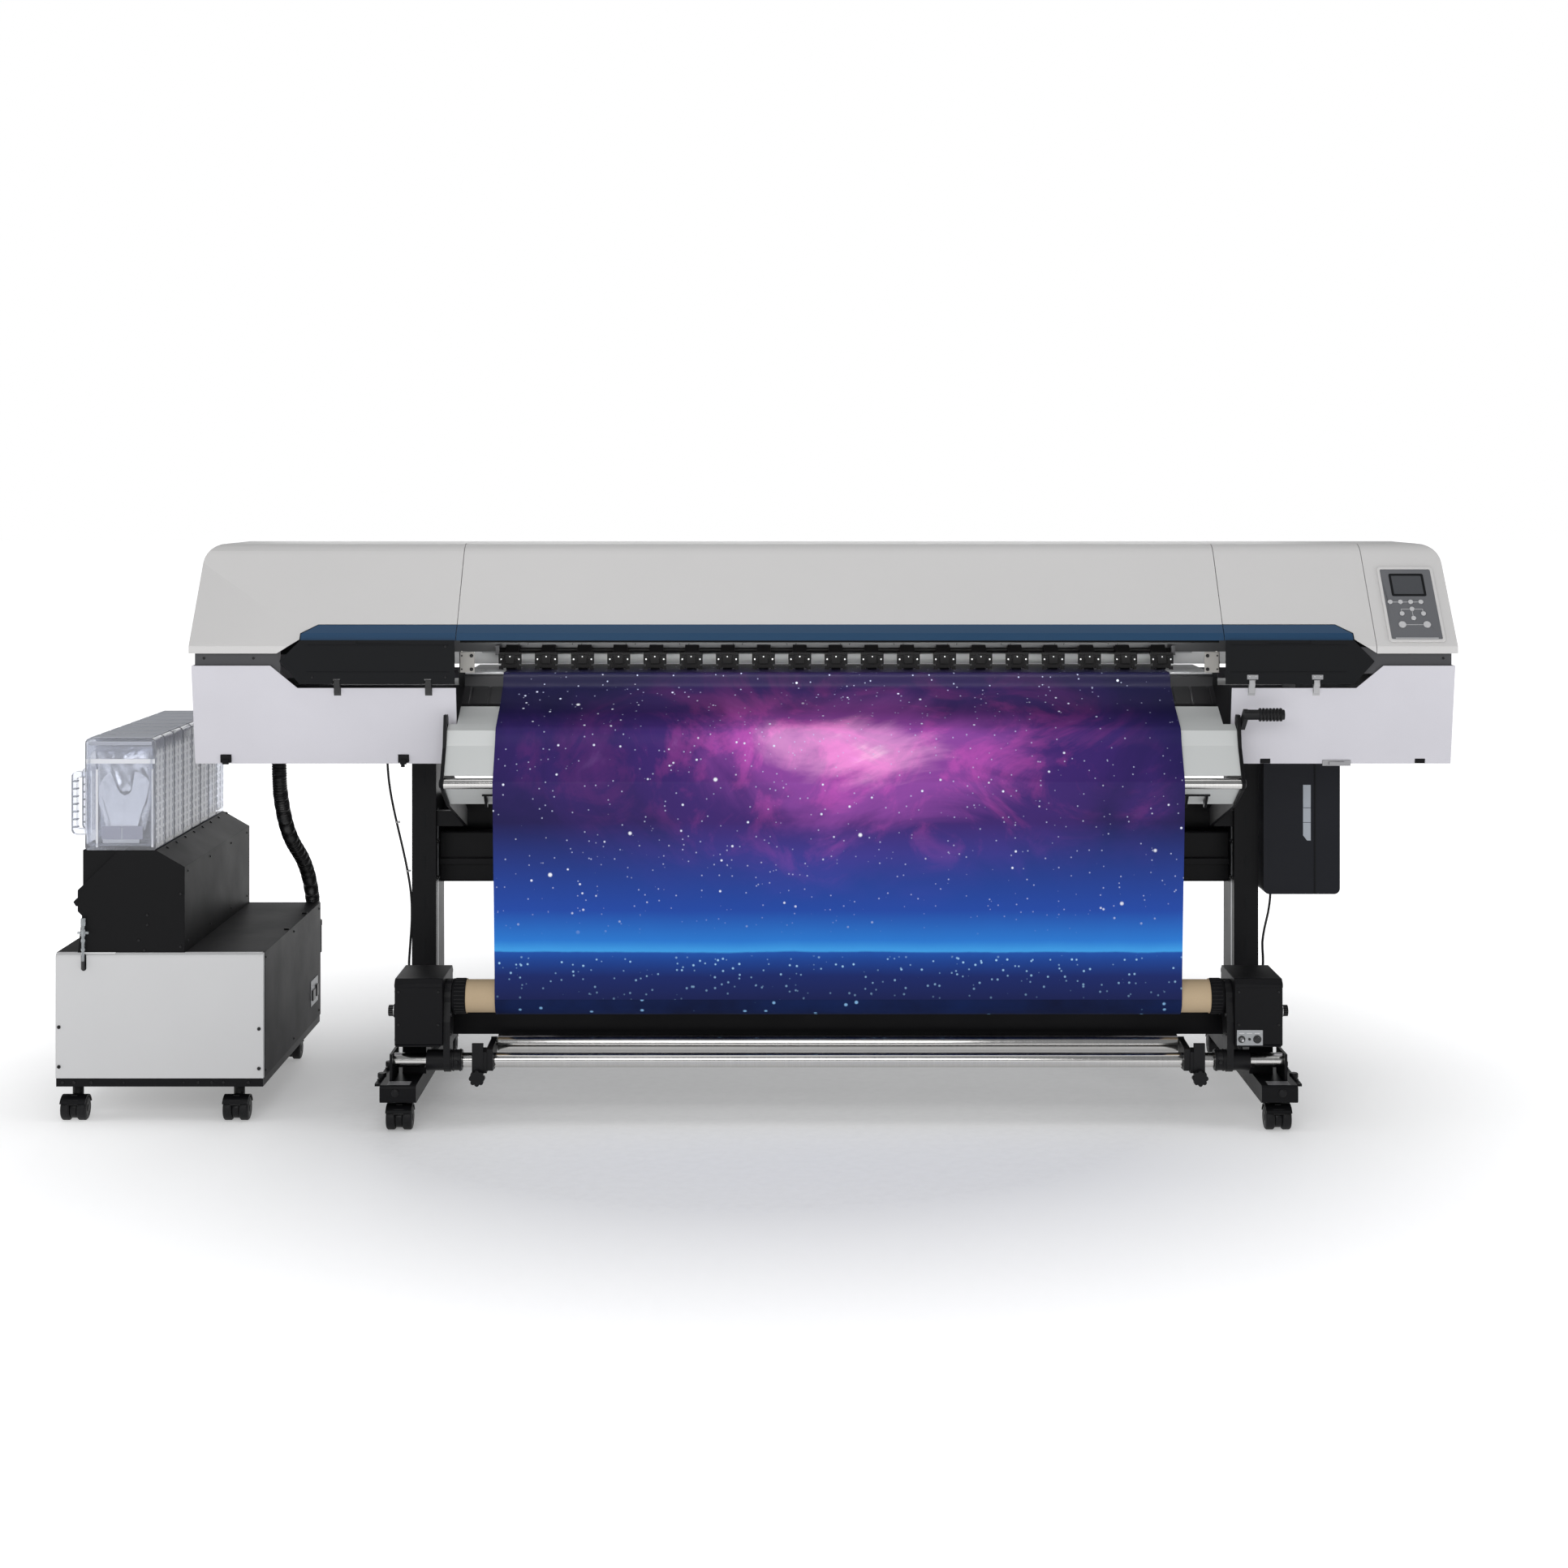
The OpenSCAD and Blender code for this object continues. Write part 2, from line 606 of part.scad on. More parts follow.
module paper_guide() color(plate_grey) at_lip() {
    difference() {
        along_x(guide_x[0], guide_x[1]) polygon(band([for (i = [2:5]) guide_path[i]], 3));
        // Its upper part is narrower, between the covers
        for (x = [[guide_x[0] - 1, seam_l + 3], [seam_r - 3, guide_x[1] + 1]])
            block([x[0], 12, low_bottom], [x[1], 160, platen_z]);
    }
    // Dark return below the nose
    along_x(guide_x[0], guide_x[1]) polygon(band([[40, low_bottom - 92], [-48, nose[1] - 11]], 3));
}

module feed_roller() color(steel) at_lip() {
    rod(seam_l + 8, seam_r - 8, feed_y, feed_z, feed_d);
    rod(seam_l - 18, seam_r + 18, feed_y, feed_z, 12);
}

function pinch_x(i) = media_mid - (pinch_n - 1) * pinch_step / 2 + i * pinch_step;

module pinch_arms() color([0.2, 0.2, 0.22]) at_lip() {
    for (i = [0:pinch_n - 1]) translate([pinch_x(i), 0, 0]) {
        difference() {
            union() {
                for (x = [-17, 12]) along_x(x, x + 5)
                    polygon([[feed_y - 14, pinch_z - 4], [feed_y - 6, pinch_z + 9],
                    [pinch_pivot[0] - 16, pinch_pivot[1] + 12], [pinch_pivot[0] + 9, pinch_pivot[1] + 9],
                    [pinch_pivot[0] + 9, pinch_pivot[1] - 9], [feed_y + 12, pinch_z - 4]]);
                along_x(-17, 17) polygon([[feed_y - 14, pinch_z + 14], [feed_y - 2, pinch_z + 18],
                    [pinch_pivot[0] - 14, pinch_pivot[1] + 14], [pinch_pivot[0] - 14, pinch_pivot[1] + 9],
                    [feed_y - 4, pinch_z + 12]]);
                // Front bracket, stepped, on two feet
                block([-28, feed_y - 16, pinch_z + 6], [28, feed_y - 13, pinch_z + 34]);
                block([-22, feed_y - 16, pinch_z - 3], [22, feed_y - 13, pinch_z + 6]);
                for (x = [-27, 17]) block([x, feed_y - 18, pinch_z - 7],
                    [x + 10, feed_y - 13, pinch_z + 1]);
            }
            rod(-18, 18, feed_y, pinch_z, 6 + 2 * fit);
        }
    }
    rod(pinch_x(0) - 44, pinch_x(pinch_n - 1) + 44, pinch_pivot[0], pinch_pivot[1], pinch_shaft_d);
}

module pinch_rollers() color([0.1, 0.1, 0.1]) at_lip() for (i = [0:pinch_n - 1])
    translate([pinch_x(i), 0, 0]) {
    rod(-11, 11, feed_y, pinch_z, pinch_d);
    rod(-16.5, 16.5, feed_y, pinch_z, 6);
}

module clamp_lever() color(ink_black) at_lip() {
    x = guide_x[1] + 9;
    pivot = [0, low_bottom + 93];
    rod(x - 8, x + 10, pivot[0], pivot[1], 10);
    along_x(x, x + 10) polygon([[-8, pivot[1] - 8], [8, pivot[1] - 8], [8, pivot[1] + 8],
        [-40, pivot[1] + 44], [-56, pivot[1] + 40], [-56, pivot[1] + 26]]);
    // Ribbed grip
    rod(x, x + 94, -46, pivot[1] + 31, 24);
    for (i = [0:6]) rod(x + 36 + i * 8, x + 40 + i * 8, -46, pivot[1] + 31, 31);
}

// ---- Carriage ----

carriage_w = 260;
carriage_x = body_x1 - 90 - carriage_w;
module carriage() color([0.22, 0.22, 0.25]) at_lip() {
    along_x(carriage_x, carriage_x + carriage_w) polygon([[112, platen_z + 14], [212, platen_z + 14],
        [212, platen_z + 76], [300, platen_z + 106], [300, platen_z + 190], [170, platen_z + 200],
        [112, platen_z + 120]]);
    // Print heads
    for (i = [0:3]) block([carriage_x + 22 + i * 58, 150, platen_z + 4],
        [carriage_x + 62 + i * 58, 200, platen_z + 14]);
    // Runners on the rail
    for (x = [carriage_x + 20, carriage_x + carriage_w - 80])
        block([x, 300, platen_z + 118], [x + 60, 311.5, platen_z + 178]);
}

rail_x = [seam_l - 180, body_x1 - 60];
module carriage_drive() color([0.6, 0.6, 0.62]) at_lip() {
    // Rail in front of the upper beam
    difference() {
        block([rail_x[0], 312, platen_z + 122], [rail_x[1], 352, platen_z + 174]);
        block([rail_x[0] - 1, 316, platen_z + 126], [rail_x[1] + 1, 348, platen_z + 170]);
    }
    // Belt loop and its pulleys above the rail
    for (x = [rail_x[0] + 30, rail_x[1] - 30]) translate([x, 332, platen_z + 174])
        cylinder(d = 34, h = 26);
    for (y = [314, 348]) block([rail_x[0] + 30, y, platen_z + 180],
        [rail_x[1] - 30, y + 1.5, platen_z + 192]);
    // Carriage motor
    translate([rail_x[0] + 30, 325, platen_z + 60]) cylinder(d = 50, h = 62);
    // Maintenance station under the parked carriage
    difference() {
        block([carriage_x - 10, 100, platen_z - 80], [carriage_x + carriage_w + 10, 250, platen_z + 2]);
        for (i = [0:3]) block([carriage_x + 20 + i * 58, 148, platen_z - 12],
            [carriage_x + 64 + i * 58, 202, platen_z + 3]);
    }
    block([carriage_x - 10, 180, platen_z - 90], [carriage_x + carriage_w + 10, 254, platen_z - 80]);
    block([carriage_x, 240, platen_z - 90], [carriage_x + 40, 255, platen_z - 60]);
}

// ---- Media ----

roll_r = core_d / 2 + takeup_wound;
module media_web() color([0.13, 0.11, 0.4]) at_lip() {
    lift = fit + media_t;
    top = platen_z + fit;
    path = concat([[reel_y - roll_r - fit - media_t, reel_z]],
        [[nose[0] - nose_d / 2 - fit - media_t, nose[1] - 4]],
        circle_points(nose, nose_d / 2 + fit + media_t, 180, 150, 4),
        [for (i = [4:-1:2]) guide_path[i] + [-lift - 1.5, lift + 1.5]],
        [[140 - lift, platen_z - 30 + lift], [141 - lift, platen_z - 7]],
        circle_points([151, top + media_t - 8], 8, 150, 90, 3),
        [[430, top + media_t]],
        circle_points([430, platen_z - 60], 60 + fit + media_t, 88, 0, 9),
        [[supply_y - supply_d / 2 - fit, supply_z]]);
    along_x(media_mid - media_half, media_mid + media_half)
        polygon(concat(path, [for (q = [len(path) - 1:-1:0]) side(path, -media_t)[q]]));
}

module takeup_reel() color([0.82, 0.74, 0.58]) at_lip() {
    translate([media_mid, 0, 0]) {
        difference() {
            rod(-core_half, core_half, reel_y, reel_z, core_d);
            rod(-core_half - 1, core_half + 1, reel_y, reel_z, core_d - 2 * core_wall);
        }
        difference() {
            rod(-media_half, media_half, reel_y, reel_z, 2 * roll_r);
            rod(-media_half - 1, media_half + 1, reel_y, reel_z, core_d);
        }
    }
    both_ends(core_half) chuck(reel_y, reel_z);
}

// Flanged plug and spindle in the end of a core
module chuck(y, z) {
    rod(-40, 0, y, z, core_d - 2 * core_wall);
    rod(0, 32, y, z, core_d + 4);
    rod(32, 68, y, z, spindle_d);
}

module supply_roll() color([0.93, 0.93, 0.92]) at_lip() {
    translate([media_mid, 0, 0]) difference() {
        union() {
            rod(-media_half, media_half, supply_y, supply_z, supply_d);
            rod(-media_half - 20, media_half + 20, supply_y, supply_z, core_d);
        }
        rod(-media_half - 21, media_half + 21, supply_y, supply_z, core_d - 2 * core_wall);
    }
    both_ends(media_half + 20) chuck(supply_y, supply_z);
}

holder_in = media_half + 20 + 36;
module rear_holders() color(ink_black) at_lip() both_ends(holder_in) {
    difference() {
        along_x(0, 14) polygon(concat(circle_points([supply_y, supply_z], 42, -60, 120, 8),
            [[post_y + post_d - 10, supply_z - 40], [post_y + post_d - 10, supply_z - 140]]));
        rod(-1, 15, supply_y, supply_z, spindle_d + 2 * fit);
    }
    // Flange that bolts behind the post
    block([0, post_y + post_d, supply_z - 140],
        [foot_out - holder_in + post_w / 2, post_y + post_d + 8, supply_z - 44]);
}

// ---- Take-up unit ----

module takeup_box() {
    front = rounded([[box_front, box_low], [box_back, box_low], [box_back, box_high],
        [box_front, box_high]],
        [6, 6, 16, 16]);
    difference() {
        along_x(0, box_w) polygon(front);
        along_x(2, box_w - 2) polygon([[box_front + 2, box_low - 1], [box_back - 2, box_low - 1],
            [box_back - 2, box_high - 6], [box_front + 2, box_high - 6]]);
        rod(-1, 3, reel_y, reel_z, spindle_d + 2 * fit);
    }
    // Motor, and the pedestal that stands on the foot
    block([45, 30, box_low], [box_w - 2, 110, box_high - 30]);
    block([50, 30, foot_top], [box_w - 4, 110, box_low]);
    // End knob with its washer
    rod(box_w, box_w + 8, -8, 266, 34);
    rod(box_w + 8, box_w + 22, -8, 266, 24);
}

module takeup_boxes() color(ink_black) at_lip() {
    difference() {
        both_ends(box_in) takeup_box();
        translate([media_mid + box_in, box_front, 0]) for (x = switch_x)
            translate([x, -1, switch_z]) rotate([-90, 0, 0]) cylinder(d = switch_hole_d, h = 4);
    }
    // Sheet beam that ties the two boxes together behind the reel
    block([media_mid - box_in, box_back - 32, box_low - 5],
        [media_mid + box_in, box_back - 16, box_high - 58]);
}

switch_x = [15, 51];
switch_z = 211;
switch_hole_d = 11;

module takeup_arms() color(charcoal) at_lip() {
    both_ends(box_in - arm_t) difference() {
        union() {
            along_x(0, arm_t - gap / 2) polygon(concat(circle_points([reel_y, reel_z], 40, -10, 190, 12),
                [[reel_y - 52, reel_z - 50], [reel_y - 54, reel_z - 100]],
                circle_points([tube_y, tube_z], 27, 190, 350, 10),
                [[tube_y + 25, tube_z + 50]]));
            rod(-26, arm_t + 40, tube_y, tube_z, tube_d + 14);
        }
        rod(-27, arm_t + 41, tube_y, tube_z, tube_d);
        rod(-1, arm_t + 1, reel_y, reel_z, spindle_d + 2 * fit);
    }
    both_ends(bracket_in) roller_bracket();
}

// Clamp on the long tube that carries one end of the guide roller
module roller_bracket() {
    difference() {
        union() {
            along_x(0, 14) polygon(concat([[tube_y - 24, tube_z - 20], [tube_y + 20, tube_z - 24]],
                circle_points([guide_y, guide_z], 15, -50, 130, 8),
                    [[tube_y - 12, tube_z + 34], [tube_y - 24, tube_z + 30]]));
            block([14, tube_y - 27, tube_z - 25], [44, tube_y + 22, tube_z + 24]);
            block([22, tube_y - 29, tube_z - 36], [48, tube_y - 21, tube_z + 44]);
        }
        rod(-1, 49, tube_y, tube_z, tube_d);
        rod(-1, 15, guide_y, guide_z, 12 + 2 * fit);
    }
    // Star knob
    translate([35, tube_y - 29, tube_z - 34]) rotate([90, 0, 0]) linear_extrude(14) union() {
        circle(d = 30);
        for (a = [0:45:315]) rotate(a) translate([13, 0]) circle(d = 11);
    }
}

module chrome_tubes() color(chrome) at_lip() {
    rod(media_mid - foot_out - 19, media_mid + foot_out + 19, tube_y, tube_z, tube_d);
    rod(guide_x[0], guide_x[1], nose[0], nose[1], nose_d);
}

module guide_roller() color(chrome) at_lip() translate([media_mid, 0, 0]) {
    rod(-media_half, media_half, guide_y, guide_z, guide_d);
    rod(-media_half - 14, media_half + 14, guide_y, guide_z, 12);
}

module toggle_switch() color(steel) at_lip() translate([media_mid + box_in + switch_x[0], box_front,
    switch_z]) {
    rotate([90, 0, 0]) cylinder(d1 = 4, d2 = 6, h = 16);
    sphere(d = 9);
    rod(-5, 5, 0, 0, 3);
}

module start_button() color(ink_black) at_lip()
    translate([media_mid + box_in + switch_x[1], box_front, switch_z])
    rotate([90, 0, 0]) translate([0, 0, -2]) cylinder(d = switch_hole_d - 2 * fit, h = 7);

// ---- Waste tank ----

module waste_tank() color([0.07, 0.07, 0.08]) at_lip() {
    x = media_mid + foot_out + post_w / 2 + 6;
    difference() {
        along_y(285, 500) polygon(rounded([[x, low_bottom - 349], [x + 188, low_bottom - 349],
            [x + 188, low_bottom], [x, low_bottom]], [14, 14, 0, 0]));
        along_y(289, 496) polygon([[x + 4, low_bottom - 345], [x + 184, low_bottom - 345],
            [x + 184, low_bottom - 8], [x + 4, low_bottom - 8]]);
        // Seam between the tank and its holder
        block([x + 122, 284, low_bottom - 350], [x + 124, 286, low_bottom + 1]);
    }
}

// ---- Control panel ----

module control_panel() color([0.38, 0.39, 0.41]) at_lip() on_slope(cp_mid, 0) difference() {
    translate([-cp_w / 2, cp_s[0], 0]) cube([cp_w, cp_s[1] - cp_s[0], 3]);
    // Recessed screen
    translate([-cp_w / 2 + 24, 144, 2]) cube([73, 55, 2]);
    translate([-50, 19.5, 2]) cube([100, 2.5, 2]);
    for (k = small_keys) translate([k[0], k[1], -1]) cylinder(d = small_key_d + 2 * fit, h = 5);
    for (k = large_keys) translate([k[0], k[1], -1]) cylinder(d = large_key_d + 2 * fit, h = 5);
}

small_key_d = 11.4;
large_key_d = 17.4;
key_pitch = 24.2;
small_keys = concat([for (i = [-2:1]) [i * key_pitch, 122.5]],
    [[0, 102.4], [-key_pitch - 1, 89.5], [key_pitch + 1, 89.5], [0, 76.4]]);
large_keys = [[-29, 58.3], [29, 58.3]];

module panel_keys() color([0.81, 0.81, 0.81]) at_lip() on_slope(cp_mid, 0) {
    for (k = small_keys) translate([k[0], k[1], 0.5]) cylinder(d = small_key_d, h = 4.3);
    for (k = large_keys) translate([k[0], k[1], 0.5]) cylinder(d = large_key_d, h = 4.3);
    // Membrane that joins the keys under the panel
    translate([-key_pitch * 2 - 5, 50, -2.5]) cube([4 * key_pitch + 10, 80, 1.2]);
    for (k = concat(small_keys, large_keys)) translate([k[0], k[1], -1.5]) cylinder(d = 8, h = 2.2);
}

// ---- Ink cart ----

module cart_chassis() color(ink_black) at_lip() {
    // Base tray on a frame
    difference() {
        block([cart_x0 + 2, cart_y + 2, cart_z], [cart_x1 - 2, cart_y + cart_d - 2, cart_z + 19]);
        block([cart_x0 + 4, cart_y + 4, cart_z + 2], [cart_x1 - 4, cart_y + cart_d - 4, cart_z + 20]);
    }
    for (x = cart_caster_x) {
        translate([x, cart_caster_y[1], 0]) caster_body(cart_z, false);
        translate([x, cart_caster_y[0], cart_z - 4]) difference() {
            translate([-30, -30, 0]) cube([60, 60, 4]);
            translate([0, 0, -1]) cylinder(d = 12 + 2 * fit, h = 6);
        }
    }
    // Elbow at the back that takes the hose
    translate([0, -lip_y, 0]) {
        end = hose_route[len(hose_route) - 1];
        translate([end[0], end[1], end[2] - 70]) cylinder(d = hose_d + 6, h = 70);
        peg(lip_y + cart_y + cart_d, end[1], end[0], end[2] - 45, hose_d);
    }
}

module cart_casing() color(charcoal) at_lip() {
    front = cart_y + 14;
    difference() {
        block([cart_x0, front, cart_z + 19], [cart_x1, cart_y + cart_d, cart_top]);
        block([cart_x0 + wall, front - 1, cart_z + 18],
            [cart_x1 - wall, cart_y + cart_d - wall, cart_top - wall]);
    }
}

module cart_front_panel() color([0.74, 0.74, 0.75]) at_lip() {
    outline = rounded([[cart_y + 13, cart_z + 20], [cart_y + 13, cart_top - 1], [cart_y, cart_top - 1],
        [cart_y, cart_z + 20]], [0, 0, 9, 0]);
    difference() {
        along_x(cart_x0 + 1, cart_x1 - 1) polygon(outline);
        block([cart_x0 + 3, cart_y + 3, cart_z + 19], [cart_x1 - 3, cart_y + 14, cart_top - 12]);
    }
}

// Outline of the tower's end plates; the body between them is square on its outer side
tower_right = [[tower_x + 251, cart_top], [tower_x + 251, tower_high - 38.5], [tower_x + 184, tower_high]];
plate_left = [[tower_x + 97, tower_high], [tower_x, tower_high - 93], [tower_x, tower_high - 143],
    [tower_x + 10, tower_high - 153], [tower_x, cart_top]];

module ink_tower() color(ink_black) at_lip() difference() {
    union() {
        along_y(cart_y + 3, cart_y + cart_d - 5) polygon(concat(tower_right, plate_left));
        along_y(cart_y + 11, cart_y + cart_d - 13) polygon(concat(tower_right,
            [[tower_x + 10, tower_high], [tower_x + 10, cart_top]]));
    }
    for (i = [0:ink_n - 1]) block([neck_x[0] - seat, case_y(i) + 8 - seat, tower_high - neck_h - 6],
        [neck_x[1] + seat, case_y(i) + ink_t - 8 + seat, tower_high + 1]);
    // Space inside for the pumps and valves
    block([tower_x + 14, cart_y + 15, cart_top - 1],
        [tower_x + 239, cart_y + cart_d - 17, cart_top + 150]);
}

function case_y(i) = cart_y + cart_d / 2 - ink_n * ink_pitch / 2 + (ink_pitch - ink_t) / 2 + i * ink_pitch;

module ink_case(i) {
    y = case_y(i);
    low = tower_high + fit;
    difference() {
        union() {
            along_y(y, y + ink_t) polygon(rounded([[case_x[0], low], [case_x[1], low],
                [case_x[1], low + ink_h], [case_x[0], low + ink_h]], [8, 4, 12, 12]));
            // Handle on the outer side
            along_y(y + ink_t / 2 - 9, y + ink_t / 2 + 9) polygon(rounded([[case_x[0] - 41, low + 32],
                [case_x[0] + 1, low + 32], [case_x[0] + 1, low + 181], [case_x[0] - 41, low + 181]],
                [12, 0, 0, 12]));
            block([neck_x[0], y + 8, tower_high - neck_h], [neck_x[1], y + ink_t - 8, low + 5]);
        }
        along_y(y + 2, y + ink_t - 2) polygon(rounded([[case_x[0] + 3, low + 10],
            [case_x[1] - 3, low + 10],
            [case_x[1] - 3, low + ink_h - 3], [case_x[0] + 3, low + ink_h - 3]], [6, 4, 9, 9]));
        along_y(y, y + ink_t) polygon(rounded([[case_x[0] - 29, low + 46], [case_x[0] - 6, low + 46],
            [case_x[0] - 6, low + 167], [case_x[0] - 29, low + 167]], [6, 2, 2, 6]));
    }
}

module ink_color() color([0.72, 0.74, 0.79]) at_lip() children();
module ink_case_1() ink_color() ink_case(0);
module ink_case_2() ink_color() ink_case(1);
module ink_case_3() ink_color() ink_case(2);
module ink_case_4() ink_color() ink_case(3);
module ink_case_5() ink_color() ink_case(4);
module ink_case_6() ink_color() ink_case(5);
module ink_case_7() ink_color() ink_case(6);
module ink_case_8() ink_color() ink_case(7);

module ink_hose() color([0.08, 0.08, 0.08]) swept(hose_route, hose_d, 12);
module cables() color([0.06, 0.06, 0.06]) {
    swept(left_cable, cable_d, 8);
    swept(right_cable, cable_d, 8);
}

// ---- Casters ----

// Body of a twin-wheel caster, with its axle; the swivelling one has a stem
module caster_body(top, swivels) {
    r = wheel_d / 2;
    half = web_w / 2 + 1 + wheel_w;
    translate([0, -trail, r]) {
        rod(-web_w / 2, web_w / 2, 0, 0, wheel_d - 10);
        rod(-half, half, 0, 0, axle_d);
        along_x(-half, half) polygon(concat(circle_points([0, 0], r + 5, 150, 20, 12),
            circle_points([0, 0], r + 2, 20, 150, 12)));
    }
    block([-web_w / 2, -trail - 10, wheel_d * 0.7], [web_w / 2, 12, wheel_d + 5]);
    translate([0, 0, wheel_d - 2]) cylinder(d = 26, h = top - wheel_d + 2 - (swivels ? 0.5 : 0));
    if (swivels) translate([0, 0, top - 1]) cylinder(d = 12, h = 4.5);
}

module wheel_pair() for (x = [-1, 1]) translate([x * (web_w / 2 + 1 + wheel_w / 2), -trail, wheel_d / 2])
    rotate([0, 90, 0]) rotate_extrude() polygon([[axle_d / 2 + fit, -wheel_w / 2 + 0.5],
        [wheel_d / 2 - 3, -wheel_w / 2 + 0.5],
        [wheel_d / 2, -wheel_w / 2 + 3.5], [wheel_d / 2, wheel_w / 2 - 3.5],
            [wheel_d / 2 - 3, wheel_w / 2 - 0.5],
        [axle_d / 2 + fit, wheel_w / 2 - 0.5]]);

module stand_caster(dir, y) at_lip() translate([media_mid + dir * foot_out, y, 0]) children();
module cart_caster(i, j) at_lip() translate([cart_caster_x[i], cart_caster_y[j], 0]) children();

module caster_fork_left() color(charcoal) stand_caster(-1, caster_front_y) caster_body(foot_z - 2, true);
module caster_fork_right() color(charcoal) stand_caster(1, caster_front_y) caster_body(foot_z - 2, true);
module caster_wheels_left() color(ink_black) stand_caster(-1, caster_front_y) wheel_pair();
module caster_wheels_right() color(ink_black) stand_caster(1, caster_front_y) wheel_pair();
module rear_wheels_left() color(ink_black) stand_caster(-1, caster_rear_y) wheel_pair();
module rear_wheels_right() color(ink_black) stand_caster(1, caster_rear_y) wheel_pair();
module cart_fork_left() color(charcoal) cart_caster(0, 0) caster_body(cart_z - 4, true);
module cart_fork_right() color(charcoal) cart_caster(1, 0) caster_body(cart_z - 4, true);
module cart_wheels_left() color(ink_black) cart_caster(0, 0) wheel_pair();
module cart_wheels_right() color(ink_black) cart_caster(1, 0) wheel_pair();
module cart_rear_wheels_left() color(ink_black) cart_caster(0, 1) wheel_pair();
module cart_rear_wheels_right() color(ink_black) cart_caster(1, 1) wheel_pair();

feet();
stand_frame();
main_beam();
upper_left_cover();
upper_right_cover();
panel_cover();
lower_covers();
rear_cover();
side_trims();
platen();
paper_guide();
control_panel();
carriage_drive();
takeup_boxes();
takeup_arms();
chrome_tubes();
rear_holders();
waste_tank();
cart_chassis();
cart_casing();
cart_front_panel();
ink_tower();
ink_hose();
cables();
media_web();
front_cover();
front_cover_trim();
left_service_panel();
right_service_panel();
clamp_lever();
pinch_arms();
pinch_rollers();
feed_roller();
carriage();
takeup_reel();
supply_roll();
guide_roller();
toggle_switch();
start_button();
panel_keys();
ink_case_1();
ink_case_2();
ink_case_3();
ink_case_4();
ink_case_5();
ink_case_6();
ink_case_7();
ink_case_8();
caster_fork_left();
caster_fork_right();
caster_wheels_left();
caster_wheels_right();
rear_wheels_left();
rear_wheels_right();
cart_fork_left();
cart_fork_right();
cart_wheels_left();
cart_wheels_right();
cart_rear_wheels_left();
cart_rear_wheels_right();
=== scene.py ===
"""The look of a wide-format roll printer with its take-up unit and ink cart.

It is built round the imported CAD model.
"""
import math
import random

import bmesh
import bpy
from mathutils import Matrix, Vector


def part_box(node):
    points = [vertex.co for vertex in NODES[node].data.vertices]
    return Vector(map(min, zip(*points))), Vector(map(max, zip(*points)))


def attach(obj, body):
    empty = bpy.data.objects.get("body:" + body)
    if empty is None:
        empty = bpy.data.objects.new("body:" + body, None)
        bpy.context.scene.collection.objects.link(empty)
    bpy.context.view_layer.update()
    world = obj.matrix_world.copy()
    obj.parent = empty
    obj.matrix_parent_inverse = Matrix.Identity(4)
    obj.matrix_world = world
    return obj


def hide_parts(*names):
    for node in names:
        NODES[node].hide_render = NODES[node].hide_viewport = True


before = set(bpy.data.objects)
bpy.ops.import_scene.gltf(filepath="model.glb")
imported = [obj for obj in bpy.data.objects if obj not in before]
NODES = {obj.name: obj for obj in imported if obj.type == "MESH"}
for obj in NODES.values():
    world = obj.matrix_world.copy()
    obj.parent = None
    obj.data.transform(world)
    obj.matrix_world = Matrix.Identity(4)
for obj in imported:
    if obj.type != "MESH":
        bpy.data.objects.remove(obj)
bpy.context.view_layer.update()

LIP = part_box("panel_cover")[0][1] * 1000  # front lip of the covers, in mm
MID = (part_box("media_web")[0][0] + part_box("media_web")[1][0]) * 500  # middle of the media
MEDIA_HALF = 800.0
random.seed(7)


def node_mm(node):
    low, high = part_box(node)
    return Vector(low) * 1000, Vector(high) * 1000


def put(name, data):
    made = bpy.data.objects.new(name, data)
    bpy.context.scene.collection.objects.link(made)
    return made


# ---- Camera and set ----

def place_camera():
    data = bpy.data.cameras.new("camera")
    data.lens = 54.91
    data.sensor_width = 36
    data.shift_y = -0.18944
    camera = put("camera", data)
    camera.location = (0.065, -5.945, 1.490)
    camera.rotation_euler = (math.radians(90), 0, 0)
    bpy.context.scene.camera = camera


def place_light(name, location, target, size, power):
    data = bpy.data.lights.new(name, "AREA")
    data.shape = "RECTANGLE"
    data.size, data.size_y = size
    data.energy = power
    light = put(name, data)
    light.location = location
    light.rotation_euler = (Vector(target) - Vector(location)).to_track_quat("-Z", "Y").to_euler()


place_camera()
place_light("front_softbox", (-0.6, -5.6, 3.0), (0, 0, 0.75), (5.0, 2.0), 105)
place_light("top_softbox", (0.2, -0.6, 4.2), (0, 0, 0), (5.5, 3.0), 42)
place_light("left_softbox", (-5.2, -1.5, 2.0), (0, 0, 0.8), (2.0, 3.0), 26)
place_light("right_softbox", (5.4, -2.0, 2.4), (0, 0, 0.8), (2.0, 3.0), 30)
place_light("rear_softbox", (0, 5.4, 3.0), (0, 0, 0.9), (5.0, 2.4), 55)
place_light("opening_strip", (0.195, -0.262, 1.119), (0.195, 0.0, 1.058), (1.75, 0.015), 2.6)

scene = bpy.context.scene
scene.view_settings.view_transform = "Standard"
scene.view_settings.look = "None"
world = bpy.data.worlds.new("studio")
scene.world = world
world.use_nodes = True
sky = world.node_tree
sky.nodes.clear()


def background(colour, strength):
    made = sky.nodes.new("ShaderNodeBackground")
    made.inputs["Color"].default_value = (*colour, 1)
    made.inputs["Strength"].default_value = strength
    return made


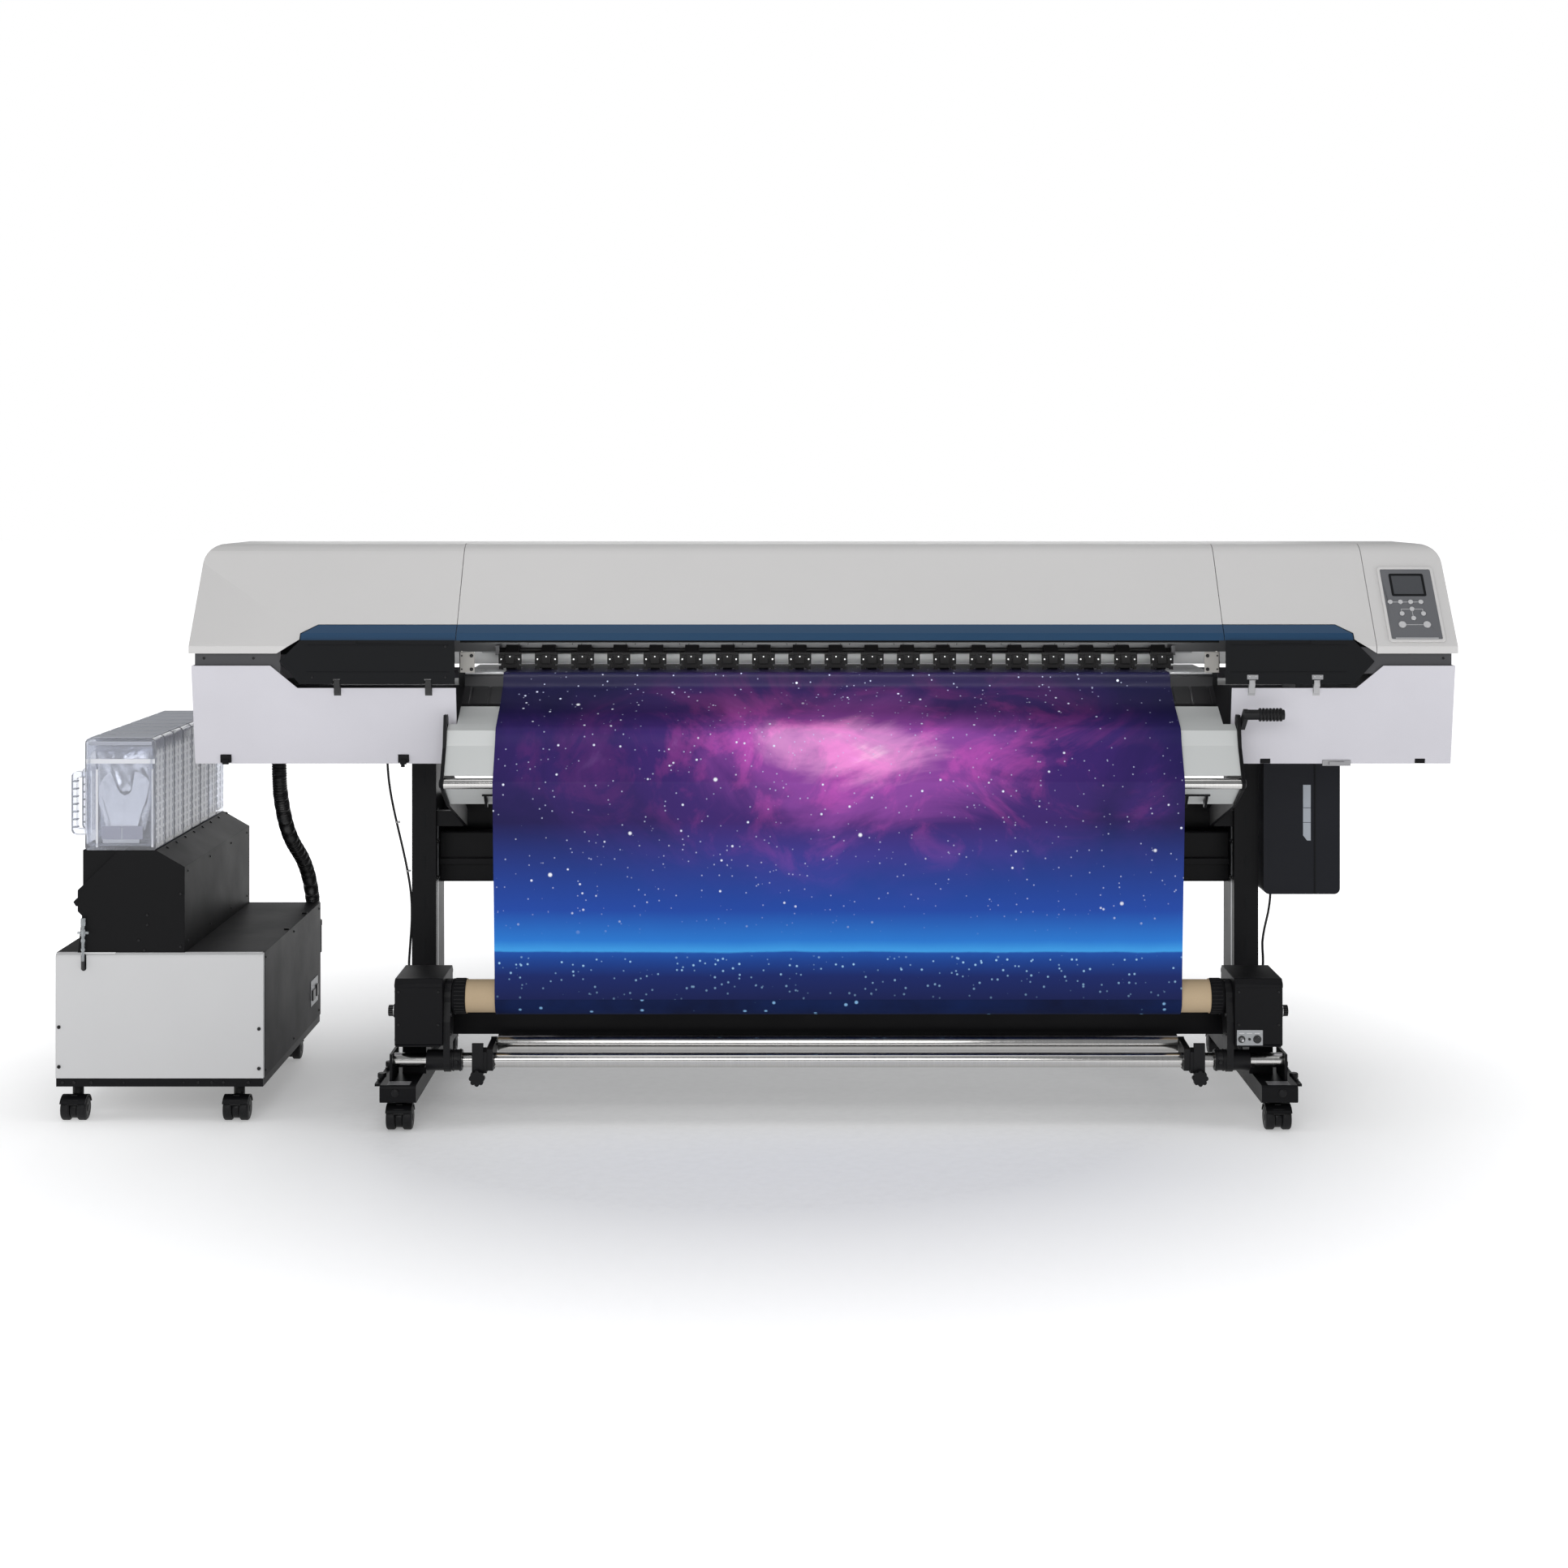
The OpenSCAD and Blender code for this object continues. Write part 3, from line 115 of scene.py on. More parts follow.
# White behind the machine, and a dimmer light on it from all round
seen = background((1, 1, 1), 1.0)
ambient = background((0.96, 0.98, 1), 0.27)
ray = sky.nodes.new("ShaderNodeLightPath")
choose = sky.nodes.new("ShaderNodeMixShader")
output = sky.nodes.new("ShaderNodeOutputWorld")
for source, target in ((ray.outputs["Is Camera Ray"], choose.inputs[0]),
                       (ambient.outputs[0], choose.inputs[1]),
                       (seen.outputs[0], choose.inputs[2]), (choose.outputs[0], output.inputs[0])):
    sky.links.new(source, target)


# ---- Materials ----

class Shader:
    """A material's node tree round one Principled shader, with short helpers."""

    def __init__(self, name):
        self.material = bpy.data.materials.new(name)
        self.material.use_nodes = True
        self.tree = self.material.node_tree
        self.main = self.tree.nodes["Principled BSDF"]
        self.place = self.node("ShaderNodeTexCoord").outputs["Object"]

    def node(self, kind, **settings):
        made = self.tree.nodes.new(kind)
        for key, value in settings.items():
            setattr(made, key, value)
        return made

    def link(self, source, target):
        self.tree.links.new(source, target)

    def noise(self, scale, detail=2.0, rough=0.5, source=None, stretch=None, distortion=0.0):
        made = self.node("ShaderNodeTexNoise")
        made.inputs["Scale"].default_value = scale
        made.inputs["Detail"].default_value = detail
        made.inputs["Roughness"].default_value = rough
        made.inputs["Distortion"].default_value = distortion
        place = source or self.place
        if stretch:
            turned = self.node("ShaderNodeMapping")
            turned.inputs["Scale"].default_value = stretch
            self.link(place, turned.inputs["Vector"])
            place = turned.outputs["Vector"]
        self.link(place, made.inputs["Vector"])
        return made.outputs["Fac"]

    def remap(self, source, low, high, to_low, to_high):
        made = self.node("ShaderNodeMapRange")
        self.link(source, made.inputs["Value"])
        for key, value in (("From Min", low), ("From Max", high), ("To Min", to_low), ("To Max", to_high)):
            made.inputs[key].default_value = value
        return made.outputs["Result"]

    def ramp(self, source, stops, smooth=False):
        made = self.node("ShaderNodeValToRGB")
        made.color_ramp.interpolation = "EASE" if smooth else "LINEAR"
        bar = made.color_ramp.elements
        while len(bar) < len(stops):
            bar.new(0.5)
        for element, (at, colour) in zip(bar, stops):
            element.position = at
            element.color = (*colour, 1)
        self.link(source, made.inputs["Fac"])
        return made.outputs["Color"]

    def math(self, operation, a, b=None):
        made = self.node("ShaderNodeMath", operation=operation)
        for socket, value in zip(made.inputs, (a, b)):
            if value is None:
                continue
            if isinstance(value, (int, float)):
                socket.default_value = value
            else:
                self.link(value, socket)
        return made.outputs[0]

    def mix(self, factor, a, b, blend="MIX"):
        made = self.node("ShaderNodeMix", data_type="RGBA", blend_type=blend)
        for socket, value in ((made.inputs[0], factor), (made.inputs[6], a), (made.inputs[7], b)):
            if isinstance(value, (int, float)):
                socket.default_value = value
            elif isinstance(value, tuple):
                socket.default_value = (*value, 1)
            else:
                self.link(value, socket)
        return made.outputs[2]

    def axis(self, index, source=None):
        made = self.node("ShaderNodeSeparateXYZ")
        self.link(source or self.place, made.inputs[0])
        return made.outputs[index]

    def bump(self, height, strength, distance):
        made = self.node("ShaderNodeBump")
        made.inputs["Strength"].default_value = strength
        made.inputs["Distance"].default_value = distance
        self.link(height, made.inputs["Height"])
        below = self.main.inputs["Normal"]
        if below.is_linked:
            self.link(below.links[0].from_socket, made.inputs["Normal"])
        self.link(made.outputs[0], below)

    def set(self, **values):
        for key, value in values.items():
            self.main.inputs[key.replace("_", " ")].default_value = value


def tint(colour, k):
    return tuple(min(1.0, c * k) for c in colour)


def finish(name, colour, rough, grain=900, depth=0.00006, patch=3.0, spread=0.04, rough_spread=0.035,
           **sockets):
    """A moulded, painted or metal surface: fine grain, broad patches of tone, and worn and dusty spots."""
    s = Shader(name)
    broad = s.noise(patch, 4, 0.55)
    fine = s.noise(grain, 3, 0.6)
    smear = s.noise(7, 5, 0.6)
    shade = s.mix(s.remap(broad, 0.3, 0.7, 0, 1), tint(colour, 1 - spread), tint(colour, 1 + spread))
    shade = s.mix(s.remap(fine, 0.35, 0.75, 0, 0.35), shade, tint(colour, 0.86))
    s.link(shade, s.main.inputs["Base Color"])
    uneven = s.math("ADD", s.remap(smear, 0.3, 0.7, -rough_spread, rough_spread), rough)
    s.link(s.math("ADD", uneven, s.remap(fine, 0.3, 0.7, -0.02, 0.02)), s.main.inputs["Roughness"])
    s.bump(fine, 0.35, depth)
    s.set(**sockets)
    return s


M = {}


def paint(name, colour, rough, spec=None, metal=None, **more):
    """Stores a finish under its name, with its specular level and metallic value where given."""
    s = finish(name, colour, rough, **more)
    if spec is not None:
        s.set(Specular_IOR_Level=spec)
    if metal is not None:
        s.set(Metallic=metal)
    M[name] = s.material


paint("cover_beige", (0.60, 0.59, 0.585), 0.42, grain=1500, depth=0.00004, spread=0.015, spec=0.4)
paint("trim_navy", (0.014, 0.052, 0.115), 0.36, grain=1600, depth=0.00003, spread=0.03, spec=0.3)
paint("frame_black", (0.0042, 0.0042, 0.0052), 0.42, grain=1100, depth=0.00009, spec=0.14)
paint("arm_charcoal", (0.0065, 0.0065, 0.0075), 0.4, grain=1300, depth=0.00006, spec=0.2)
paint("service_black", (0.0042, 0.0048, 0.006), 0.5, grain=1600, depth=0.00006, spec=0.15)
paint("tank_black", (0.007, 0.008, 0.012), 0.38, grain=1300, depth=0.00005, spec=0.16)
paint("cart_charcoal", (0.0115, 0.011, 0.0125), 0.5, grain=1000, depth=0.00009, spec=0.13)
paint("tower_black", (0.0055, 0.0055, 0.0062), 0.5, grain=1000, depth=0.00009, spec=0.12)
paint("cart_front", (0.6, 0.6, 0.605), 0.4, grain=1300, depth=0.00006, spread=0.02)
paint("hose_black", (0.005, 0.005, 0.0055), 0.36, grain=900, depth=0.00005, rough_spread=0.06, spec=0.4)
paint("cable_black", (0.009, 0.009, 0.01), 0.5, grain=1400, depth=0.00004)
paint("lever_black", (0.006, 0.006, 0.007), 0.42, grain=1300, depth=0.00006, spec=0.22)
paint("carriage_plastic", (0.03, 0.032, 0.037), 0.42)
paint("button_black", (0.008, 0.008, 0.009), 0.3)
paint("pinch_metal", (0.0045, 0.0043, 0.0045), 0.4, grain=1200, spec=0.12)
paint("roller_rubber", (0.014, 0.014, 0.015), 0.62, grain=1700)
paint("caster_plastic", (0.006, 0.006, 0.007), 0.38, grain=1200, spec=0.22)
paint("caster_tyre", (0.008, 0.008, 0.009), 0.5, grain=900, depth=0.00012, spec=0.22)
paint("panel_grey", (0.115, 0.118, 0.128), 0.42, grain=1500, depth=0.00004)
paint("key_grey", (0.5, 0.5, 0.51), 0.38, grain=1500, depth=0.00003)
paint("guide_plate", (0.56, 0.575, 0.57), 0.36, grain=1300, depth=0.00001, spread=0.01, rough_spread=0.015)
paint("end_plate", (0.4, 0.385, 0.36), 0.4, grain=1300, spread=0.03)
paint("case_lid", (0.5, 0.515, 0.57), 0.3, grain=1300, depth=0.00003)
paint("case_band", (0.66, 0.67, 0.71), 0.28, grain=1300, depth=0.00003)
paint("pouch_label", (0.4, 0.395, 0.47), 0.4, grain=1300, depth=0.00003)
paint("label_white", (0.72, 0.72, 0.72), 0.5, spread=0.02)
paint("plate_grey", (0.36, 0.37, 0.38), 0.36, grain=1200, spread=0.03, metal=0.35)
paint("screw_black", (0.012, 0.012, 0.013), 0.32, grain=1500, metal=0.4)
paint("screw_steel", (0.5, 0.5, 0.5), 0.28, grain=1500, metal=0.9)
paint("screen", (0.03, 0.033, 0.04), 0.16, grain=1500, depth=0.00001, rough_spread=0.03)
paint("tank_window", (0.34, 0.37, 0.41), 0.25, spread=0.06)


def brushed(name, colour, rough, along="x", shiny=0.9):
    """Drawn or turned metal: long fine streaks along or round the piece."""
    s = Shader(name)
    stretch = {"x": (2, 900, 900), "round": (700, 3, 3)}[along]
    streak = s.noise(1.0, 5, 0.7, stretch=stretch)
    broad = s.noise(4, 3, 0.5)
    shade = s.mix(s.remap(streak, 0.25, 0.75, 0, 1), tint(colour, 0.86), tint(colour, 1.06))
    s.link(s.mix(s.remap(broad, 0.4, 0.7, 0, 0.4), shade, tint(colour, 0.9)), s.main.inputs["Base Color"])
    s.link(s.math("ADD", s.remap(streak, 0.3, 0.7, -0.05, 0.07),
                  s.remap(broad, 0.3, 0.7, rough - 0.03, rough + 0.05)),
           s.main.inputs["Roughness"])
    s.bump(streak, 0.12, 0.00003)
    s.set(Metallic=shiny)
    return s.material


M["chrome"] = brushed("chrome", (0.66, 0.65, 0.635), 0.16, "round", 1.0)
M["roller_steel"] = brushed("roller_steel", (0.5, 0.5, 0.51), 0.3, "round", 1.0)
M["drive_metal"] = brushed("drive_metal", (0.33, 0.33, 0.34), 0.35, "x", 0.8)


def zoned(material_name, base, zones):
    """base, with bands of other colours where one coordinate lies between two values in metres."""
    s = finish(material_name, base[0], base[1], grain=1200)
    shade = s.main.inputs["Base Color"].links[0].from_socket
    rough = s.main.inputs["Roughness"].links[0].from_socket
    for tests, colour, new_rough in zones:
        mask = None
        for index, low, high in tests:
            place = s.axis(index)
            inside = s.math("MULTIPLY", s.math("GREATER_THAN", place, low),
                            s.math("LESS_THAN", place, high))
            mask = inside if mask is None else s.math("MULTIPLY", mask, inside)
        shade = s.mix(mask, shade, colour)
        rough = s.math("ADD", s.math("MULTIPLY", rough, s.math("SUBTRACT", 1, mask)),
                       s.math("MULTIPLY", mask, new_rough))
    s.link(shade, s.main.inputs["Base Color"])
    s.link(rough, s.main.inputs["Roughness"])
    return s


def m(value):
    return value / 1000


# The platen's top and the plate behind the pinch rollers are bare light metal, the rest of both is dark
M["platen_black"] = zoned("platen_black", ((0.006, 0.006, 0.007), 0.4), [
    ([(2, 1.0405, 1.06)], (0.30, 0.305, 0.31), 0.3)]).material
M["chassis_grey"] = zoned("chassis_grey", ((0.045, 0.045, 0.05), 0.42), [
    ([(2, 1.050, 1.081), (1, -0.01, 0.02)], (0.74, 0.75, 0.75), 0.32),
    ([(2, 1.081, 1.112), (1, -0.01, 0.02)], (0.075, 0.077, 0.08), 0.36)]).material


def ear_zones():
    """The fixed halves of the service panels' hinges: black on the left, bright on the right."""
    zones = []
    low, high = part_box("front_cover_trim")
    for x, colour in ((low[0] - 0.065, BLACK), (low[0] - 0.279, BLACK), (high[0] + 0.065, STEEL),
                      (high[0] + 0.217, STEEL)):
        zones.append(([(0, x - 0.0085, x + 0.0085), (1, m(LIP) + 0.003, m(LIP) + 0.020), (2, 1.0, 1.05)],
                      colour, 0.35))
    return zones


BLACK = (0.008, 0.008, 0.009)
STEEL = (0.42, 0.42, 0.43)
M["cover_lavender"] = zoned("cover_lavender", ((0.585, 0.575, 0.62), 0.45), ear_zones()).material


def print_colour_and_shade(s, place):
    """A generic gradient over x and the distance along the media, with soft clouds and stars, and painted
    shade towards the platen.
    """
    across = s.axis(0, place)
    along = s.axis(1, place)
    flow = s.noise(1.7, 6, 0.6, source=place, distortion=1.6)
    cloud = s.noise(3.6, 8, 0.62, source=place, distortion=2.4)
    # Distance from the bright centre, squashed into an oval
    wide = s.math("MULTIPLY", s.math("SUBTRACT", across, 0.06), 0.95)
    tall = s.math("MULTIPLY", s.math("SUBTRACT", along, 0.60), 2.05)
    far = s.math("SQRT", s.math("ADD", s.math("MULTIPLY", wide, wide), s.math("MULTIPLY", tall, tall)))
    far = s.math("ADD", far, s.remap(flow, 0.2, 0.8, 0.22, -0.22))
    nebula = s.ramp(far, [(0.0, (0.95, 0.70, 0.88)), (0.09, (0.66, 0.26, 0.60)), (0.24, (0.26, 0.06, 0.34)),
                          (0.5, (0.045, 0.018, 0.15)), (0.85, (0.013, 0.010, 0.075))], True)
    streak = s.ramp(cloud, [(0.45, (0, 0, 0)), (0.62, (0.34, 0.035, 0.16)), (0.8, (0.6, 0.2, 0.5))], True)
    near = s.remap(far, 0.1, 0.72, 1, 0)
    shade = s.mix(near, nebula, s.mix(0.75, nebula, streak, "ADD"))
    # Blue glow low down with a firm lower edge, and dark below it
    low = s.math("ADD", along, s.remap(flow, 0.3, 0.7, -0.003, 0.003))
    glow = s.ramp(s.remap(low, 0.0, 0.42, 0, 1), [(0.0, (0.003, 0.006, 0.035)),
                                                  (0.13, (0.004, 0.014, 0.09)),
                  (0.22, (0.006, 0.05, 0.25)), (0.262, (0.008, 0.08, 0.36)), (0.272, (0.05, 0.36, 0.78)),
                  (0.33, (0.018, 0.19, 0.60)), (0.50, (0.008, 0.06, 0.32)), (1.0, (0, 0, 0))])
    shade = s.mix(1.0, s.mix(s.remap(along, 0.14, 0.34, 0.05, 1), (0.005, 0.008, 0.05), shade), glow, "ADD")
    # Painted shade: the film is darkened again towards the platen
    shade = s.mix(s.remap(along, 0.66, 0.86, 0, 0.9), shade, (0.003, 0.003, 0.012))
    above = s.remap(along, 0.15, 0.24, 0, 1)
    below = s.math("MULTIPLY", s.remap(along, 0.095, 0.105, 1, 0), s.remap(along, 0.0, 0.085, 0.25, 1))
    for scale, edge, power, few, where, colour in (
            (70, 0.085, 0.55, 0.50, above, (0.62, 0.68, 0.92)), (34, 0.062, 0.95, 0.55, above,
                                                                 (0.80, 0.84, 1.0)),
            (15, 0.048, 1.0, 0.70, above, (0.9, 0.92, 1.0)), (75, 0.13, 0.85, 0.45, below,
                                                              (0.42, 0.72, 1.0))):
        dots = s.node("ShaderNodeTexVoronoi", feature="F1")
        dots.inputs["Scale"].default_value = scale
        s.link(place, dots.inputs["Vector"])
        spot = s.remap(dots.outputs["Distance"], edge, edge * 1.9, power, 0)
        rare = s.math("GREATER_THAN", s.axis(0, dots.outputs["Color"]), few)
        shade = s.mix(s.math("MULTIPLY", s.math("MULTIPLY", spot, rare), where), shade, colour)
    return shade


def print_material():
    """Inked film: the print, with painted shade towards the platen, on the front, white on the back."""
    s = Shader("media_print")
    uv = s.node("ShaderNodeUVMap", uv_map="print").outputs[0]
    shade = print_colour_and_shade(s, uv)
    back = s.node("ShaderNodeNewGeometry").outputs["Backfacing"]
    s.link(s.mix(back, shade, (0.72, 0.72, 0.71)), s.main.inputs["Base Color"])
    weave = s.noise(1800, 2, 0.5)
    s.link(s.remap(weave, 0.3, 0.7, 0.38, 0.5), s.main.inputs["Roughness"])
    s.bump(weave, 0.2, 0.00003)
    s.set(Specular_IOR_Level=0.12)
    return s.material


M["media_print"] = print_material()


# Distances from the media's middle to where the wound film and the bare cores end, in metres
WOUND_HALF = 0.8002
REEL_CORE_HALF = 0.8690
SUPPLY_CORE_HALF = 0.8202


def distance_from_middle(s):
    return s.math("ABSOLUTE", s.math("SUBTRACT", s.axis(0), m(MID)))


def reel_material():
    """The take-up reel: printed film wound in the middle, brown paper core, black chucks."""
    s = finish("paper_core", (0.56, 0.43, 0.28), 0.7, grain=500, depth=0.00008, spread=0.06)
    paper = s.main.inputs["Base Color"].links[0].from_socket
    off = distance_from_middle(s)
    mark = s.noise(3, 4, 0.6)
    wound = s.ramp(mark, [(0.3, (0.003, 0.006, 0.032)), (0.7, (0.005, 0.016, 0.085))], True)
    dots = s.node("ShaderNodeTexVoronoi", feature="F1")
    dots.inputs["Scale"].default_value = 42
    s.link(s.place, dots.inputs["Vector"])
    rare = s.math("GREATER_THAN", s.axis(0, dots.outputs["Color"]), 0.72)
    wound = s.mix(s.math("MULTIPLY", s.remap(dots.outputs["Distance"], 0.12, 0.22, 0.8, 0), rare), wound,
                  (0.3, 0.6, 0.95))
    in_media = s.math("LESS_THAN", off, WOUND_HALF)
    in_chuck = s.math("GREATER_THAN", off, REEL_CORE_HALF)
    s.link(s.mix(in_chuck, s.mix(in_media, paper, wound), (0.006, 0.006, 0.007)),
           s.main.inputs["Base Color"])
    s.set(Specular_IOR_Level=0.12)
    return s.material


def supply_material():
    """The supply roll: white film on a paper core, with black chucks."""
    s = finish("media_roll", (0.70, 0.70, 0.69), 0.45, grain=900, depth=0.00003, spread=0.02)
    white = s.main.inputs["Base Color"].links[0].from_socket
    off = distance_from_middle(s)
    in_core = s.math("GREATER_THAN", off, WOUND_HALF)
    in_chuck = s.math("GREATER_THAN", off, SUPPLY_CORE_HALF)
    paper = s.mix(s.noise(60, 4, 0.6), (0.48, 0.36, 0.23), (0.62, 0.48, 0.32))
    s.link(s.mix(in_chuck, s.mix(in_core, white, paper), (0.010, 0.010, 0.011)),
           s.main.inputs["Base Color"])
    return s.material


M["paper_core"] = reel_material()
M["media_roll"] = supply_material()


def case_material(name, colour, clear, rough):
    """Cloudy moulded plastic that lets light through."""
    s = finish(name, colour, rough, grain=700, depth=0.00005, spread=0.03)
    s.set(Transmission_Weight=clear, IOR=1.25, Specular_IOR_Level=0.5)
    return s.material


M["ink_case"] = case_material("ink_case", (0.86, 0.88, 0.94), 0.86, 0.12)
M["clear_tube"] = case_material("clear_tube", (0.75, 0.78, 0.8), 0.7, 0.12)


def pouch_material():
    """Crinkled silver film of the ink pouches."""
    s = finish("pouch_film", (0.74, 0.75, 0.78), 0.26, grain=500, depth=0.00004, spread=0.05)
    folds = s.noise(34, 4, 0.6, stretch=(1, 1, 0.45), distortion=0.8)
    s.bump(folds, 0.5, 0.004)
    s.set(Metallic=0.75)
    return s.material


M["pouch_film"] = pouch_material()

for node in NODES.values():
    for place in node.material_slots:
        name = place.material.name.split(".")[0]
        place.material = M[name]


# ---- Building pieces, in millimetres of the row frame ----

SMOOTH_BELOW = 38  # edges sharper than this, in degrees, stay sharp


class Build:
    """Collects solids in one mesh, in mm, turns them into a piece, and is then empty for the next one."""

    def __init__(self):
        self.bm = bmesh.new()

    def faces(self, points, sides):
        made = [self.bm.verts.new(p) for p in points]
        for side in sides:
            self.bm.faces.new([made[i] for i in side])
        return made

    def box(self, a, b):
        low = [min(p, q) for p, q in zip(a, b)]
        high = [max(p, q) for p, q in zip(a, b)]
        points = [(x, y, z) for x in (low[0], high[0]) for y in (low[1], high[1])
                  for z in (low[2], high[2])]
        self.faces(points, [(0, 1, 3, 2), (4, 6, 7, 5), (0, 4, 5, 1), (2, 3, 7, 6), (0, 2, 6, 4),
                            (1, 5, 7, 3)])

    def prism(self, outline, axis, low, high):
        """An outline in the two other axes, in order, drawn out along one axis."""
        def at(p, t):
            return {0: (t, p[0], p[1]), 1: (p[0], t, p[1]), 2: (p[0], p[1], t)}[axis]
        n = len(outline)
        points = [at(p, low) for p in outline] + [at(p, high) for p in outline]
        sides = [(i, (i + 1) % n, n + (i + 1) % n, n + i) for i in range(n)]
        self.faces(points, [tuple(range(n - 1, -1, -1)), tuple(range(n, 2 * n))] + sides)

    def lathe(self, origin, direction, profile, n=24):
        """A profile of (radius, height) turned round a line through origin. A radius of 0 closes it."""
        turn = Vector(direction).normalized().to_track_quat("Z", "Y")
        rings = []
        for radius, height in profile:
            if radius <= 0:
                rings.append([self.bm.verts.new(Vector(origin) + turn @ Vector((0, 0, height)))])
                continue
            rings.append([self.bm.verts.new(Vector(origin) + turn @ Vector(
                (radius * math.cos(math.tau * i / n), radius * math.sin(math.tau * i / n), height)))
                for i in range(n)])
        for below, above in zip(rings, rings[1:]):
            for i in range(n):
                j = (i + 1) % n
                if len(below) == 1 and len(above) == 1:
                    continue
                if len(below) == 1:
                    self.bm.faces.new((below[0], above[j], above[i]))
                elif len(above) == 1:
                    self.bm.faces.new((below[i], below[j], above[0]))
                else:
                    self.bm.faces.new((below[i], below[j], above[j], above[i]))

    def rod(self, a, b, d, n=24):
        reach = Vector(b) - Vector(a)
        r = d / 2
        c = min(0.6, r * 0.2)
        h = reach.length
        self.lathe(a, reach, [(0, 0), (r - c, 0), (r, c), (r, h - c), (r - c, h), (0, h)], n)

    def screw(self, at, direction, d=6.0, tall=None):
        """A pan head with a hexagon socket, its seat sunk just under the surface."""
        r = d / 2
        h = tall or d * 0.38
        self.lathe(at, direction, [(r, -0.4), (r, h * 0.45), (r * 0.9, h * 0.8), (r * 0.7, h),
                                   (r * 0.46, h)], 18)
        self.lathe(at, direction, [(r * 0.46, h), (r * 0.42, h * 0.35), (0, h * 0.3)], 6 if d > 5 else 18)

    def tube(self, path, d, n=16, radius=None):
        """A round bar along points. radius(s) may vary the radius with the distance s."""
        points = [Vector(p) for p in path]
        side = None
        rings = []
        s = 0.0
        for i, p in enumerate(points):
            aim = (points[min(i + 1, len(points) - 1)] - points[max(i - 1, 0)]).normalized()
            if side is None:
                side = aim.cross(Vector((0, 1, 0.2))).normalized()
            side = (side - aim * side.dot(aim)).normalized()
            other = aim.cross(side)
            s += (p - points[i - 1]).length if i else 0
            r = radius(s) if radius else d / 2
            angles = [math.tau * k / n for k in range(n)]
            rings.append([self.bm.verts.new(p + r * (math.cos(a) * side + math.sin(a) * other))
                          for a in angles])
        for below, above in zip(rings, rings[1:]):
            for k in range(n):
                self.bm.faces.new((below[k], below[(k + 1) % n], above[(k + 1) % n], above[k]))
        self.bm.faces.new(rings[0][::-1])
        self.bm.faces.new(rings[-1])

    def piece(self, name, material, body="printer", slot=None, bevel=0.5, smooth=True, segments=2):
        mesh = bpy.data.meshes.new(name)
        bmesh.ops.recalc_face_normals(self.bm, faces=self.bm.faces)
        bmesh.ops.scale(self.bm, vec=(0.001, 0.001, 0.001), verts=self.bm.verts)
        self.bm.to_mesh(mesh)
        self.bm.free()
        self.bm = bmesh.new()
        obj = put(name, mesh)
        mesh.materials.append(M[material])
        if smooth:
            mark_smooth(mesh, SMOOTH_BELOW)
        if bevel:
            add_bevel(obj, bevel, segments)
        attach(obj, body)
        return obj


def mark_smooth(mesh, degrees):
    """Smooth faces, with the edges sharper than this angle kept sharp."""
    bm = bmesh.new()
    bm.from_mesh(mesh)
    limit = math.radians(degrees)
    for face in bm.faces:
        face.smooth = True
    for edge in bm.edges:
        edge.smooth = len(edge.link_faces) == 2 and edge.calc_face_angle(0) < limit
    bm.to_mesh(mesh)
    bm.free()


def add_bevel(obj, width, segments=2, angle=32):
    bevel = obj.modifiers.new("edges", "BEVEL")
    bevel.width = m(width)
    bevel.segments = segments
    bevel.limit_method = "ANGLE"
    bevel.angle_limit = math.radians(angle)
    bevel.use_clamp_overlap = True
    bevel.harden_normals = False


def spline(points, step):
    """A smooth curve through points, as points about step apart."""
    p = [Vector(q) for q in points]
    p = [2 * p[0] - p[1]] + p + [2 * p[-1] - p[-2]]
    out = []
    for i in range(1, len(p) - 2):
        count = max(2, int((p[i + 1] - p[i]).length / step))
        for k in range(count):
            t = k / count
            a, b, c, d = p[i - 1:i + 3]
            out.append(0.5 * (2 * b + (c - a) * t + (2 * a - 5 * b + 4 * c - d) * t * t
                              + (3 * b - a - 3 * c + d) * t ** 3))
    return out + [p[-2]]


# ---- Cords, on the CAD's routes ----

HOSE_D = 38
HOSE_ROUTE = [(-1191, 5, 829), (-1191, 5, 806), (-1191, 7, 780), (-1191, 16, 738), (-1190, 34, 698),
              (-1189, 60, 660), (-1188, 92, 627), (-1187, 130, 598), (-1186, 170, 574), (-1185, 212, 552),
              (-1184, 252, 530), (-1183, 290, 504), (-1182, 324, 474), (-1181, 352, 439), (-1180, 372, 400),
              (-1180, 382, 360), (-1180, 382, 330)]
CABLE_D = 6
LEFT_CABLE = [(-943, 135, 837), (-943, 135, 815), (-943, 135, 790), (-940, 134, 750), (-932, 131, 700),
              (-918, 124, 640), (-902, 114, 580), (-887, 102, 520), (-876, 90, 460), (-872, 74, 400),
              (-871, 45, 345), (-867, 0, 305), (-855, -60, 288), (-835, -122, 286), (-812, -175, 291),
              (-801, -203, 296), (-800, -225, 297)]
RIGHT_CABLE = [(1283, 47, 488), (1283, 47, 462), (1277, 43, 425), (1266, 33, 388), (1257, 15, 355),
               (1253, -12, 327), (1246, -46, 305), (1233, -90, 292), (1212, -140, 288), (1191, -178, 291),
               (1181, -203, 296), (1180, -225, 297)]


def make_hose():
    path = spline(HOSE_ROUTE, 1.5)
    pitch, rib = 6.4, 1.5

    def ribbed(s):
        return HOSE_D / 2 - rib + rib * math.sin(math.tau * s / pitch) ** 3
    b = Build()
    b.tube(path, HOSE_D, 28, ribbed)
    hose = b.piece("ink_hose_corrugated", "hose_black", bevel=0)
    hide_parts("ink_hose")


